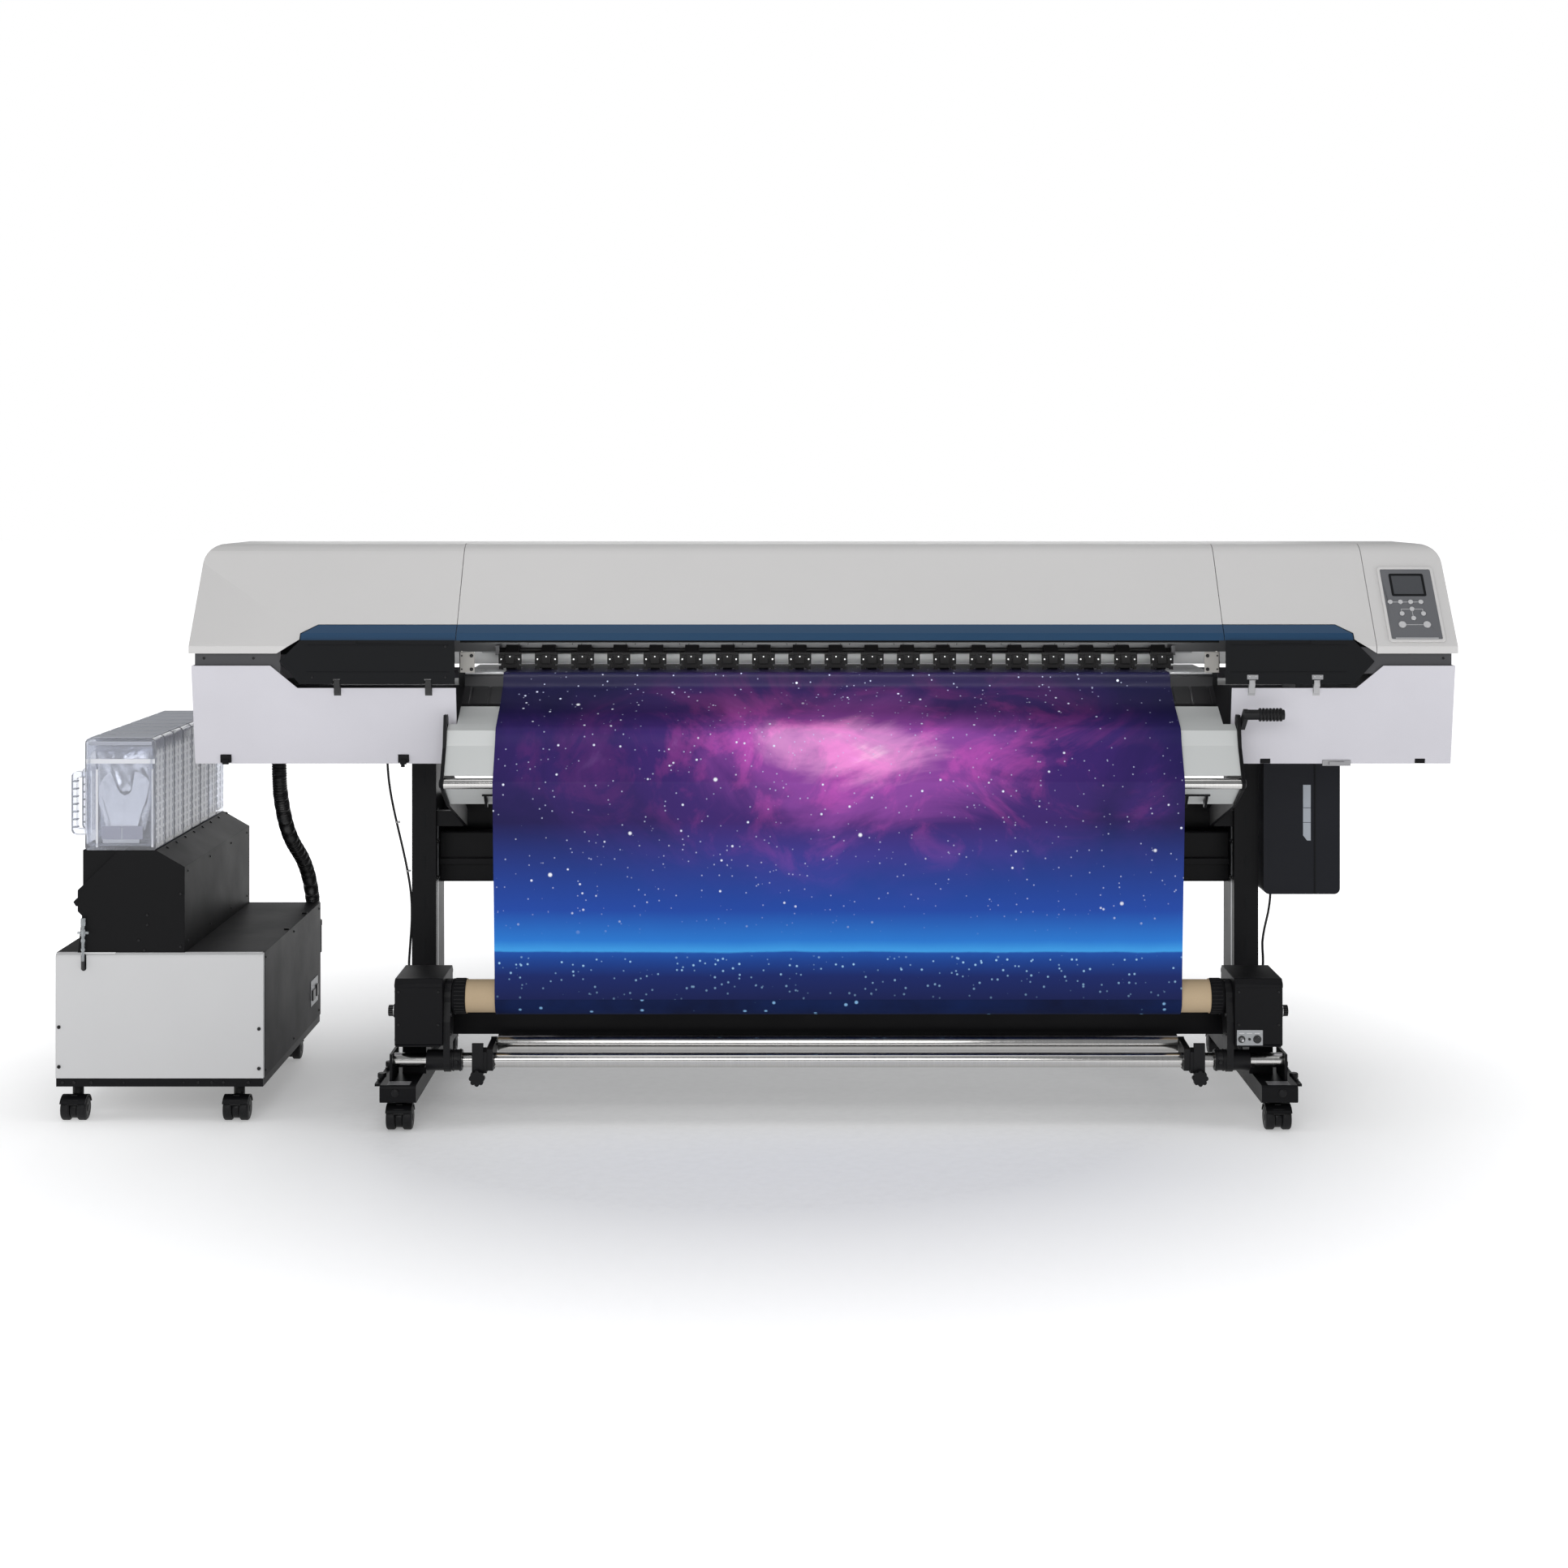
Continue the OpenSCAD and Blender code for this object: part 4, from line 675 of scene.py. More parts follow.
def make_cable(name, route):
    curve = bpy.data.curves.new(name, "CURVE")
    curve.dimensions = "3D"
    curve.bevel_depth = m(CABLE_D / 2)
    curve.bevel_resolution = 3
    curve.use_fill_caps = True
    points = spline(route, 14)
    line = curve.splines.new("POLY")
    line.points.add(len(points) - 1)
    for target, p in zip(line.points, points):
        target.co = (*(m(c) for c in p), 1)
    cable = put(name, curve)
    curve.materials.append(M["cable_black"])
    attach(cable, "printer")
    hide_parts("cables")


make_hose()
make_cable("left_cable", LEFT_CABLE)
make_cable("right_cable", RIGHT_CABLE)

# ---- Floor ----

def make_floor():
    mesh = bpy.data.meshes.new("floor")
    mesh.from_pydata([(-30, -30, 0), (30, -30, 0), (30, 60, 0), (-30, 60, 0)], [], [(0, 1, 2, 3)])
    floor = put("floor", mesh)
    s = finish("floor", (0.80, 0.80, 0.805), 0.6, grain=40, depth=0.0001, patch=0.3, spread=0.01,
               Specular_IOR_Level=0.15)
    reach = s.node("ShaderNodeVectorMath", operation="LENGTH")
    s.link(s.place, reach.inputs[0])
    # Painted light: the floor glows, weakly near the machine and fully white further away, so the lamps'
    # shadows show only close to it
    s.link(s.remap(reach.outputs["Value"], 1.0, 2.9, 0.18, 1.0), s.main.inputs["Emission Strength"])
    s.set(Emission_Color=(1, 1, 1, 1))
    mesh.materials.append(s.material)


make_floor()


# ---- CAD nodes: softened edges ----

EDGE_MM = {"front_cover": 1.2, "upper_left_cover": 1.2, "upper_right_cover": 1.2, "panel_cover": 1.2,
           "rear_cover": 1.2, "cart_casing": 1.2, "waste_tank": 1.2, "lower_covers": 1.0, "ink_tower": 1.0,
           "panel_keys": 0.5, "platen": 0.4, "pinch_arms": 0.4, "control_panel": 0.4, "takeup_reel": 0.3,
           "supply_roll": 0.3}
for name, node in NODES.items():
    if name in ("ink_hose", "cables", "media_web"):
        continue
    weld = node.modifiers.new("weld", "WELD")
    weld.merge_threshold = 0.00002
    add_bevel(node, EDGE_MM.get(name, 0.7))


# ---- Media ----

def arc(centre, radius, start, end, count):
    return [(centre[0] + radius * math.cos(math.radians(start + (end - start) * i / count)),
             centre[1] + radius * math.sin(math.radians(start + (end - start) * i / count)))
            for i in range(count + 1)]


def make_media():
    """The film, from the take-up reel over the nose bar, the guide and the platen to the supply roll."""
    reel_low, reel_high = node_mm("takeup_reel")
    supply_low, supply_high = node_mm("supply_roll")
    reel_z = (reel_low[2] + reel_high[2]) / 2
    supply_z = (supply_low[2] + supply_high[2]) / 2
    supply_y = (supply_low[1] + supply_high[1]) / 2
    nose_y, nose_z = LIP - 62, 803
    front = LIP + 8 - 42.35 - 0.9
    path = [(front, reel_z), (front, reel_z + 60)]
    path += [(front + (nose_y - 13.9 - front) * t, reel_z + 60 + (nose_z - 12 - reel_z - 60) * t)
             for t in (i / 24 for i in range(1, 25))]
    path += arc((nose_y, nose_z), 13.9, 180, 152, 6)
    path += [(LIP - 29.5, 889), (LIP - 17.5, 926), (LIP + 75.5, 974), (LIP + 137, 1015), (LIP + 139, 1036)]
    path += arc((LIP + 151, 1036.1), 8.1, 160, 90, 6)
    path += [(LIP + 220, 1044.2), (LIP + 330, 1044.2), (LIP + 430, 1044.2)]
    path += arc((LIP + 430, 983), 61.2, 88, 2, 14)
    path += [(supply_y - 75.4, 940), (supply_y - 75.4, 860), (supply_y - 75.4, supply_z)]
    smooth_path = []
    for a, b in zip(path, path[1:]):
        gap = math.dist(a, b)
        count = max(1, int(gap / 8))
        smooth_path += [(a[0] + (b[0] - a[0]) * i / count, a[1] + (b[1] - a[1]) * i / count)
                        for i in range(count)]
    smooth_path.append(path[-1])
    # Round off the corners a little where the film bends over edges
    for _ in range(2):
        smooth_path = [smooth_path[0]] + [
            ((a[0] + 2 * b[0] + c[0]) / 4, (a[1] + 2 * b[1] + c[1]) / 4)
            for a, b, c in zip(smooth_path, smooth_path[1:], smooth_path[2:])] + [smooth_path[-1]]
    columns = 64
    bm = bmesh.new()
    layer = bm.loops.layers.uv.new("print")
    rows = []
    s = 0.0
    for i, (y, z) in enumerate(smooth_path):
        s += math.dist(smooth_path[i - 1], (y, z)) if i else 0
        row = []
        for k in range(columns + 1):
            u = k / columns
            x = MID - MEDIA_HALF + 2 * MEDIA_HALF * u
            # The free span bows forward slightly between its edges
            free = math.sin(math.pi * min(1, max(0, (s - 40) / 420))) if s < 460 else 0
            row.append((bm.verts.new((m(x), m(y - free * 1.1 * math.sin(math.pi * u) ** 0.5
                                                - free * 0.5 * math.sin(5.2 * u + 0.7) ** 2), m(z))), u, s))
        rows.append(row)
    for below, above in zip(rows, rows[1:]):
        for a, b, c, d in zip(below, below[1:], above[1:], above):
            face = bm.faces.new((a[0], b[0], c[0], d[0]))
            face.smooth = True
            for loop, corner in zip(face.loops, (a, b, c, d)):
                loop[layer].uv = ((corner[1] - 0.5) * 1.6, m(corner[2]))
    mesh = bpy.data.meshes.new("printed_film")
    bm.to_mesh(mesh)
    bm.free()
    film = put("printed_film", mesh)
    mesh.materials.append(M["media_print"])
    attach(film, "printer")
    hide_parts("media_web")
    return film


make_media()

# ---- Details, in mm; L gives a depth measured back from the front lip ----

FRONT, BACK, UP = (0, -1, 0), (0, 1, 0), (0, 0, 1)


def L(y):
    return LIP + y


def boxes(name, material, corners, *where, **more):
    b = Build()
    for low, high in corners:
        b.box(low, high)
    return b.piece(name, material, *where, **more)


def screws(name, places, direction, d=6.0, material="screw_black", body="printer"):
    b = Build()
    for at in places:
        b.screw(at, direction, d)
    return b.piece(name, material, body, "frame_black", bevel=0)


SEAM_L = node_mm("front_cover_trim")[0][0] - 1
SEAM_R = node_mm("front_cover_trim")[1][0] + 1
PINCH_N = 19
PINCH_STEP = (2 * MEDIA_HALF - 14) / (PINCH_N - 1)
PINCH_X = [MID + (i - (PINCH_N - 1) / 2) * PINCH_STEP for i in range(PINCH_N)]


def opening_details():
    """Flanges at the ends of the media opening, and what shows over the platen."""
    b = Build()
    dots = []
    small = []
    for inner, outer in ((SEAM_L + 37, SEAM_L + 1), (SEAM_R - 37, SEAM_R - 1)):
        b.box((inner, L(68), 1050), (outer, L(71), 1099))
        b.box((outer, L(68), 1050), (outer + math.copysign(3, inner - outer), L(104), 1099))
        dots += [(inner + (outer - inner) * 0.2, L(68), z) for z in (1058, 1090)]
        small += [(inner + (outer - inner) * 0.84, L(68), z) for z in (1058, 1090)]
    b.piece("opening_end_plates", "end_plate", slot="guide_plate", bevel=0.8)
    screws("opening_end_screws", dots, FRONT, 8.5)
    screws("opening_end_screws_small", small, FRONT, 4)
    for k in range(12):
        x = PINCH_X[0] + 20 + k * 133
        for side in (-1, 1):
            b.prism([(x + side * 14, 1102), (x + side * 10, 1102), (x + side * 10, 1096.5)], 1, L(338.6),
                    L(340.4))
    b.piece("rail_marks", "screw_black", slot="frame_black", bevel=0)
    boxes("rail_ledges", "plate_grey", [
        ((SEAM_L + 22, L(334), 1108), (SEAM_R - 22, L(340.5), 1114)),
        ((SEAM_L + 22, L(331), 1079), (SEAM_R - 22, L(340.5), 1081.5))], slot="guide_plate", bevel=0.5)
    # Dark hood strip behind the trim
    boxes("hood_strip", "pinch_metal", [
        ((SEAM_L + 4, L(58), 1122), (SEAM_R - 4, L(61), 1131))], bevel=0.4)
    # Slotted media clamps at both edges of the film
    for side in (-1, 1):
        x = MID + side * (MEDIA_HALF + 3)
        b.prism([(L(152), 1043.2), (L(152), 1044.6), (L(262), 1044.6), (L(262), 1043.2)], 0,
                min(x, x + side * 46), max(x, x + side * 46))
    b.piece("edge_clamps", "plate_grey", slot="guide_plate", bevel=0.3)


def pinch_details():
    b = Build()
    rib = Build()
    white = Build()
    for x in PINCH_X:
        b.box((x - 11, L(214.5), 1060), (x + 11, L(219.2), 1083))
        b.box((x - 26, L(216.5), 1080), (x + 26, L(219.2), 1083.5))
        for k in (-19, -15.5, 12.5, 16):
            rib.box((x + k, L(217.2), 1062.5), (x + k + 1.8, L(219.2), 1078))
        for k in (-21.5, 21.5):
            white.lathe((x + k, L(219.1), 1071), FRONT, [(0, 0), (1.9, 0), (1.9, 1.1), (0, 1.3)], 14)
        white.lathe((x, L(214.6), 1077.5), FRONT, [(0, 0), (1.5, 0), (1.5, 0.9), (0, 1.1)], 14)
    b.piece("pinch_housings", "pinch_metal", "pinch_arms", "pinch_metal", bevel=0.8)
    rib.piece("pinch_ribs", "pinch_metal", "pinch_arms", "pinch_metal", bevel=0.3)
    white.piece("pinch_dots", "label_white", "pinch_arms", "pinch_metal", bevel=0)


SLOPE = math.radians(53.4)
PANEL_X = 1550.5


def slope_piece(b, name, material, slot, bevel=0.4, body="printer", segments=2):
    """Moves a build from panel axes (x, up the slope, out of it) to the row frame."""
    matrix = Matrix.Translation((PANEL_X, LIP, 1117)) @ Matrix.Rotation(SLOPE, 4, "X")
    bmesh.ops.transform(b.bm, matrix=matrix, verts=b.bm.verts)
    return b.piece(name, material, body, slot, bevel, segments=segments)


def rounded_rect(x0, y0, x1, y1, r, n=6):
    out = []
    for cx, cy, start in ((x1 - r, y1 - r, 0), (x0 + r, y1 - r, 90), (x0 + r, y0 + r, 180),
                          (x1 - r, y0 + r, 270)):
        out += arc((cx, cy), r, start, start + 90, n)
    return out


def frame_ring(b, outer, inner, low, high):
    """A flat ring between two outlines with the same number of points, in the first two axes."""
    n = len(outer)
    points = [(*p, z) for outline, z in ((outer, low), (outer, high), (inner, high), (inner, low))
              for p in outline]
    sides = []
    for k in range(4):
        for i in range(n):
            j = (i + 1) % n
            a, c = k * n, ((k + 1) % 4) * n
            sides.append((a + i, a + j, c + j, c + i))
    return b.faces(points, sides)


SMALL_KEYS = [(i * 24.2, 122.5) for i in (-2, -1, 0, 1)] + [(0, 102.4), (-25.2, 89.5), (25.2, 89.5),
                                                            (0, 76.4)]
LARGE_KEYS = [(-29, 58.3), (29, 58.3)]


def control_panel_details():
    b = Build()
    frame_ring(b, rounded_rect(-67, 10.5, 67, 223.5, 9), rounded_rect(-60, 17.5, 60, 216.5, 4), 0.0, 4.6)
    slope_piece(b, "panel_surround", "cover_beige", "cover_beige", 1.2, segments=3)
    frame_ring(b, rounded_rect(-41, 139.5, 41, 203.5, 4), rounded_rect(-35.5, 145, 35.5, 198, 2), 2.6, 4.2)
    slope_piece(b, "screen_bezel", "service_black", "panel_grey", 0.5)
    b.prism(rounded_rect(-36.5, 144, 36.5, 199, 2), 2, 2.1, 3.2)
    slope_piece(b, "screen_glass", "screen", "panel_grey", 0.2)
    for x0, y0, x1, y1 in ((-48, 121.9, 24, 123.1), (-25.8, 89.5, -24.6, 103), (24.6, 89.5, 25.8, 103),
                           (-25, 101.8, 25, 103), (-0.6, 76, 0.6, 103), (-29, 57.7, 29, 58.9)):
        b.box((x0, y0, 2.9), (x1, y1, 3.15))
    b.box((-50, 19.6, 2.4), (50, 21.9, 3.3))
    slope_piece(b, "panel_lines", "key_grey", "key_grey", 0)
    for x, y in SMALL_KEYS:
        b.lathe((x, y, 4.7), UP, [(5.0, 0), (4.6, 0.5), (3.2, 0.62), (0, 0.5)], 24)
    for x, y in LARGE_KEYS:
        b.lathe((x, y, 4.7), UP, [(8.0, 0), (7.5, 0.6), (5.0, 0.75), (0, 0.55)], 28)
    slope_piece(b, "key_caps", "key_grey", "key_grey", 0, "panel_keys")


def cover_details():
    # Latches under the lower covers
    b = Build()
    for x in (-1264, -845):
        b.box((x, L(38), 840), (x + 25, L(52), 858))
        b.box((x + 5, L(35), 836), (x + 20, L(41), 848))
    b.box((-838, L(36), 829.5), (-829, L(40), 840))
    for x in (1189, 1554):
        b.box((x, L(42), 838), (x + 23, L(52), 848))
    b.piece("cover_latches", "frame_black", bevel=1.0)
    boxes("silver_latch", "drive_metal", [
        ((1335, L(42), 832), (1402, L(45), 846)), ((1350, L(38.5), 834),
                                                   (1387, L(42.2), 842))], slot="drive_metal", bevel=0.8)
    # Hinge leaves of the right service panel, and screws of the left one
    for x in (1162.5, 1314.5):
        b.box((x - 13, L(-0.4), 1041), (x + 13, L(1.2), 1050))
        b.rod((x - 13, L(1.2), 1040.5), (x + 13, L(1.2), 1040.5), 3.2)
    b.piece("hinge_leaves", "drive_metal", "right_service_panel", "drive_metal", bevel=0.3)
    screws("hinge_screws", [(x + k, L(-0.4), 1046.5) for x in (1162.5, 1314.5) for k in (-7, 7)], FRONT,
           4.2,
           "screw_steel", "right_service_panel")
    screws("left_panel_screws", [(x, L(1), z) for x, z in ((-728, 1044), (-728, 1116), (-1040, 1044))],
           FRONT, 5.5, "screw_black", "left_service_panel")
    # A bead along the edges of the service panels
    for name, side, seam, length in (("left", -1, SEAM_L, 364), ("right", 1, SEAM_R, 302)):
        x0, x1 = sorted((seam + side * 14, seam + side * (length - 16)))
        b.box((x0, L(-0.1), 1119), (x1, L(1.4), 1120.6))
        b.box((x0, L(-0.1), 1056), (x1, L(1.4), 1057.4))
        b.piece(name + "_panel_beads", "service_black", name + "_service_panel", "service_black", bevel=0.4)
    # Screws in the dark band between the covers
    screws("band_screws", [(x, L(12), 1088) for x in (-1296, -1180, 1440, 1612)], FRONT, 6)


def end_and_rear_details():
    """Vents, screws and inlets on the ends and back, of the usual kind."""
    b = Build()
    for k in range(9):
        z = 1150 + k * 11
        for x0 in (-600, 780):
            b.prism([(L(680) - 0.3, z), (L(680) + 0.9, z - 1), (L(680) + 0.9, z + 4),
                     (L(680) - 0.3, z + 4.6)], 0,
                    x0, x0 + 220)
    b.piece("rear_vents", "service_black", slot="service_black", bevel=0.3)
    for k in range(8):
        z = 900 + k * 11
        for x0 in (-1240, 1400):
            b.prism([(L(657.5), z), (L(660.4), z - 1), (L(661), z + 4), (L(658.3), z + 4.6)], 0, x0,
                    x0 + 150)
    b.piece("lower_vents", "service_black", slot="service_black", bevel=0.3)
    screws("rear_screws", [(x, L(680), z) for x in (-690, -350, 0, 190, 540, 880, 1085)
                           for z in (1112, 1270)]
           + [(x, L(680), z) for x in (-1300, -1010, -722, 1115, 1440, 1470, 1615) for z in (1112, 1262)],
           BACK, 7)
    # Power inlet and its switch on the left end
    x = node_mm("cart_casing")[1][0]
    b.box((x, L(560), 150), (x + 1.6, L(650), 215))
    b.piece("inlet_plate", "plate_grey", slot="guide_plate", bevel=0.5)
    boxes("inlet_socket", "button_black", [
        ((x + 1.5, L(572), 163), (x + 5, L(606), 190)), ((x + 1.5, L(618), 166),
                (x + 6, L(638), 196))], slot="button_black", bevel=1.2)


def cart_details():
    left, right = node_mm("cart_casing")[0][0], node_mm("cart_casing")[1][0]
    front = L(5)
    screws("cart_front_screws", [(left + 9, front, 224), (left + 9, front, 131), (right - 11, front, 220),
                                 (right - 11, front, 127)], FRONT, 8.5)
    screws("cart_rail_screws", [(x, L(7), 94) for x in (-1626, -1599, -1559, -1308, -1276, -1249, -1190)],
           FRONT, 7)
    screws("cart_rail_pins", [(x, L(7), 94) for x in (-1483, -1342)], FRONT, 4)
    screws("cart_side_screws", [(right, y, z) for y in (L(28), L(350), L(672)) for z in (118, 384)],
           (1, 0, 0), 6)
    screws("cart_side_screws_left", [(left, y, z) for y in (L(28), L(350), L(672)) for z in (118, 384)],
           (-1, 0, 0), 6)
    screws("cart_back_screws", [(x, L(695), z) for x in (left + 20, -1400, right - 20)
                                for z in (118, 384)], BACK, 6)
    # Folded lip where the front panel meets the casing top
    boxes("front_panel_lip", "cart_front", [
        ((left + 4, L(6.5), 396.6), (right - 4, L(18), 398.1))], slot="cart_front", bevel=0.4)
    boxes("front_panel_notch", "label_white", [
        ((left + 66, L(3.9), 396), (left + 142, L(9), 399.2))], slot="cart_front", bevel=0.5)
    # Level tube, with its cross fitting, that goes into a slot in the front panel
    x = -1576
    b = Build()
    b.tube([(x, L(-1.5), 470), (x, L(-1.5), 430), (x, L(-1.5), 400), (x - 0.5, L(-1.5), 372),
            (x - 0.5, L(2), 362)], 7, 18)
    b.piece("level_tube", "clear_tube", slot="ink_case", bevel=0)
    b.rod((x, L(-1.5), 462), (x, L(-1.5), 480), 11)
    b.rod((x - 13, L(-1.5), 446), (x + 13, L(-1.5), 446), 6)
    b.rod((x, L(-1.5), 438), (x, L(-1.5), 454), 10)
    b.rod((x, L(-1.5), 424), (x, L(-1.5), 431), 9.5)
    b.rod((x, L(-1.5), 404), (x, L(-1.5), 409), 9.5)
    b.rod((x, L(8), 446), (x, L(-3), 446), 7)
    b.piece("tube_fittings", "clear_tube", slot="ink_case", bevel=0.3)
    b.prism(rounded_rect(x - 6.5, 356, x + 6, 396, 6), 1, L(4.6), L(5.4))
    b.piece("tube_slot", "service_black", slot="frame_black", bevel=0)
    b.rod((x - 0.5, L(-1), 360), (x - 0.5, L(-1), 380), 8.5)
    b.piece("tube_plug", "button_black", slot="frame_black", bevel=0.4)
    # Cable clip on the casing
    for y in (L(300), L(520)):
        b.box((right - 14, y, 397), (right - 2, y + 10, 401))
    b.piece("casing_clips", "frame_black", bevel=0.8)


def tower_details():
    right = node_mm("ink_tower")[1][0]
    front = L(8)
    screws("tower_screws", [(x, front, z) for x, z in ((-1576, 412), (-1350, 412), (-1350, 536),
                                                       (-1428, 486),
                                                      (-1428, 463), (-1448, 427), (-1435, 404))], FRONT, 6)
    screws("tower_side_screws", [(right, y, z) for y in (L(40), L(260), L(480), L(660))
                                 for z in (420, 585)],
           (1, 0, 0), 5.5)
    b = Build()
    b.prism([(-1603, 516), (-1597, 506), (-1590, 506), (-1590, 525), (-1596, 524)], 1, L(12), L(26))
    b.piece("tower_clip", "frame_black", bevel=0.6)
    # Raised collars round the sockets of the cases
    for k in range(8):
        y0, y1 = (corner[1] for corner in node_mm("ink_case_%d" % (k + 1)))
        outer = [(-1490, y0 + 3.5), (-1412, y0 + 3.5), (-1412, y1 - 3.5), (-1490, y1 - 3.5)]
        inner = [(-1487.5, y0 + 6), (-1413.6, y0 + 6), (-1413.6, y1 - 6), (-1487.5, y1 - 6)]
        frame_ring(b, outer, inner, 636.5, 637.7)
    b.piece("socket_collars", "tower_black", slot="tower_black", bevel=0.2)
    # Screws along the top of the slope
    for k in range(8):
        y = sum(corner[1] for corner in node_mm("ink_case_%d" % (k + 1))) / 2
        b.lathe((-1400, y + 34, 633.4), (0.493, 0, 0.87), [(0, -1), (3.4, -1), (3.4, 1.4), (2.2, 2.4),
                                                           (0, 2.6)], 16)
    b.piece("slope_screws", "screw_black", slot="tower_black", bevel=0)


def pouch(name, body, y_low, y_high):
    """A collapsed silver pouch: two skins joined at the edge, pinched in folds towards its spout."""
    x0, x1, z0, z1 = -1556, -1424, 676, 880
    middle = (y_low + y_high) / 2
    nu, nv = 22, 30
    bm = bmesh.new()
    phase = random.random() * 6

    def point(u, v, face):
        edge = (math.sin(math.pi * u) * math.sin(math.pi * min(1,
                v * 1.02))) ** 0.5 if 0 < u < 1 and 0 < v < 1 else 0
        pinch = 1 - 0.30 * max(0, 0.35 - v) / 0.35
        x = (x0 + x1) / 2 + (u - 0.5) * (x1 - x0) * pinch
        fold = 0.30 * math.cos((u - 0.5) * 13 * (1.3 - v)) + 0.16 * math.sin(u * 21 + v * 9 + phase)
        fold += 0.12 * math.sin(v * 17 + phase * 2 + 3 * u)
        thick = (6 + 17 * (1 - v) ** 0.6 * (0.4 + v)) * edge * (1 + fold)
        return m(x), m(middle + face * thick + 2.0 * math.sin(3 * v + phase)), m(z0 + (z1 - z0) * v)
    skins = {}
    for face in (-1, 1):
        skins[face] = [[bm.verts.new(point(i / nu, k / nv, face)) for i in range(nu + 1)]
                       for k in range(nv + 1)]
        for k in range(nv):
            for i in range(nu):
                quad = (skins[face][k][i], skins[face][k][i + 1], skins[face][k + 1][i + 1],
                        skins[face][k + 1][i])
                bm.faces.new(quad if face < 0 else quad[::-1]).smooth = True
    bmesh.ops.remove_doubles(bm, verts=bm.verts, dist=0.0002)
    mesh = bpy.data.meshes.new(name)
    bm.to_mesh(mesh)
    bm.free()
    obj = put(name, mesh)
    mesh.materials.append(M["pouch_film"])
    obj.modifiers.new("round", "SUBSURF").levels = 1
    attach(obj, body)


POUCH_FRONT = [(-1543.1, 787.8), (-1529.6, 749.6), (-1519.7, 720.4), (-1513.9, 694.4), (-1451, 694.4),
               (-1443.4, 724.9), (-1430.8, 760.8), (-1423.2, 796.7), (-1430.8, 808), (-1446.5, 821.4),
               (-1458.7, 821.4), (-1462.2, 801.2), (-1465.8, 778.8), (-1472.1, 769.8),
               (-1482.5, 766.2), (-1492.8, 772), (-1500.4, 783.3), (-1508, 805.7), (-1516.1, 821.4),
               (-1531.8, 808)]


def case_details():
    b = Build()
    for number in range(1, 9):
        body = "ink_case_%d" % number
        low, high = node_mm(body)
        pouch("pouch_%d" % number, body, low[1], high[1])
        x0, x1, z0, z1 = -1574.5, -1408.5, 639, 900
        # Raised rims on the two broad faces
        for y0, y1 in ((low[1] - 1.6, low[1] + 0.2), (high[1] - 0.2, high[1] + 1.6)):
            outer = rounded_rect(x0 + 7, z0 + 9, x1 - 7, z1 - 8, 9)
            inner = rounded_rect(x0 + 13, z0 + 15, x1 - 13, z1 - 30, 12)
            for corner in frame_ring(b, outer, inner, y0, y1):
                corner.co = corner.co.xzy
        # Ribs on the back, and the bars of the handle
        middle = (low[1] + high[1]) / 2
        for z in range(652, 880, 19):
            for y in (low[1] + 5, middle - 3, high[1] - 11):
                b.box((x1 - 0.3, y, z), (x1 + 0.9, y + 6, z + 13))
        for z in (686, 704, 722, 740, 758, 776, 794):
            b.box((x0 - 38.5, middle - 10, z), (x0 - 27, middle + 10, z + 3))
        b.piece("case_rims_%d" % number, "ink_case", body, "ink_case", bevel=0.6)
        b.box((-1534, low[1] + 3, 654), (-1448, low[1] + 5, 690))
        b.rod((-1491, middle, 650), (-1491, middle, 684), 22)
        b.piece("spout_%d" % number, "label_white", body, "ink_case", bevel=0.8)
        boxes("case_lid_%d" % number, "case_lid", [
            ((x0 + 11, low[1] + 3, z1 + 0.5), (x1 - 11, high[1] - 3, z1 + 2.3)),
            ((x0 + 9, low[1] - 1.2, 884), (x1 - 9, low[1] + 0.3, 893))], body, "ink_case", bevel=0.5)
        b.box((x0 + 3, low[1] - 0.9, 841), (x1 - 2, low[1] + 0.3, 852))
        for x in (-1549, -1419):
            b.box((x, low[1] - 0.9, 645), (x + 5, low[1] + 0.3, 828))
        b.piece("case_bands_%d" % number, "case_band", body, "ink_case", bevel=0.4)
        # The pouch's flat front, with shoulders, a waist and its label
        b.prism(POUCH_FRONT, 1, low[1] + 3, low[1] + 4.6)
        b.prism([(-1484, 700), (-1481, 700), (-1481.8, 758), (-1483.2, 758)], 1, low[1] + 2.3, low[1] + 3)
        b.piece("pouch_front_%d" % number, "pouch_film", body, "ink_case", bevel=0.5)
        boxes("pouch_label_%d" % number, "pouch_label", [
            ((-1536, low[1] + 2.2, 663), (-1490, low[1] + 2.8, 694)),
            ((-1488, low[1] + 2.2, 663), (-1440, low[1] + 2.8, 694))], body, "ink_case", bevel=0)


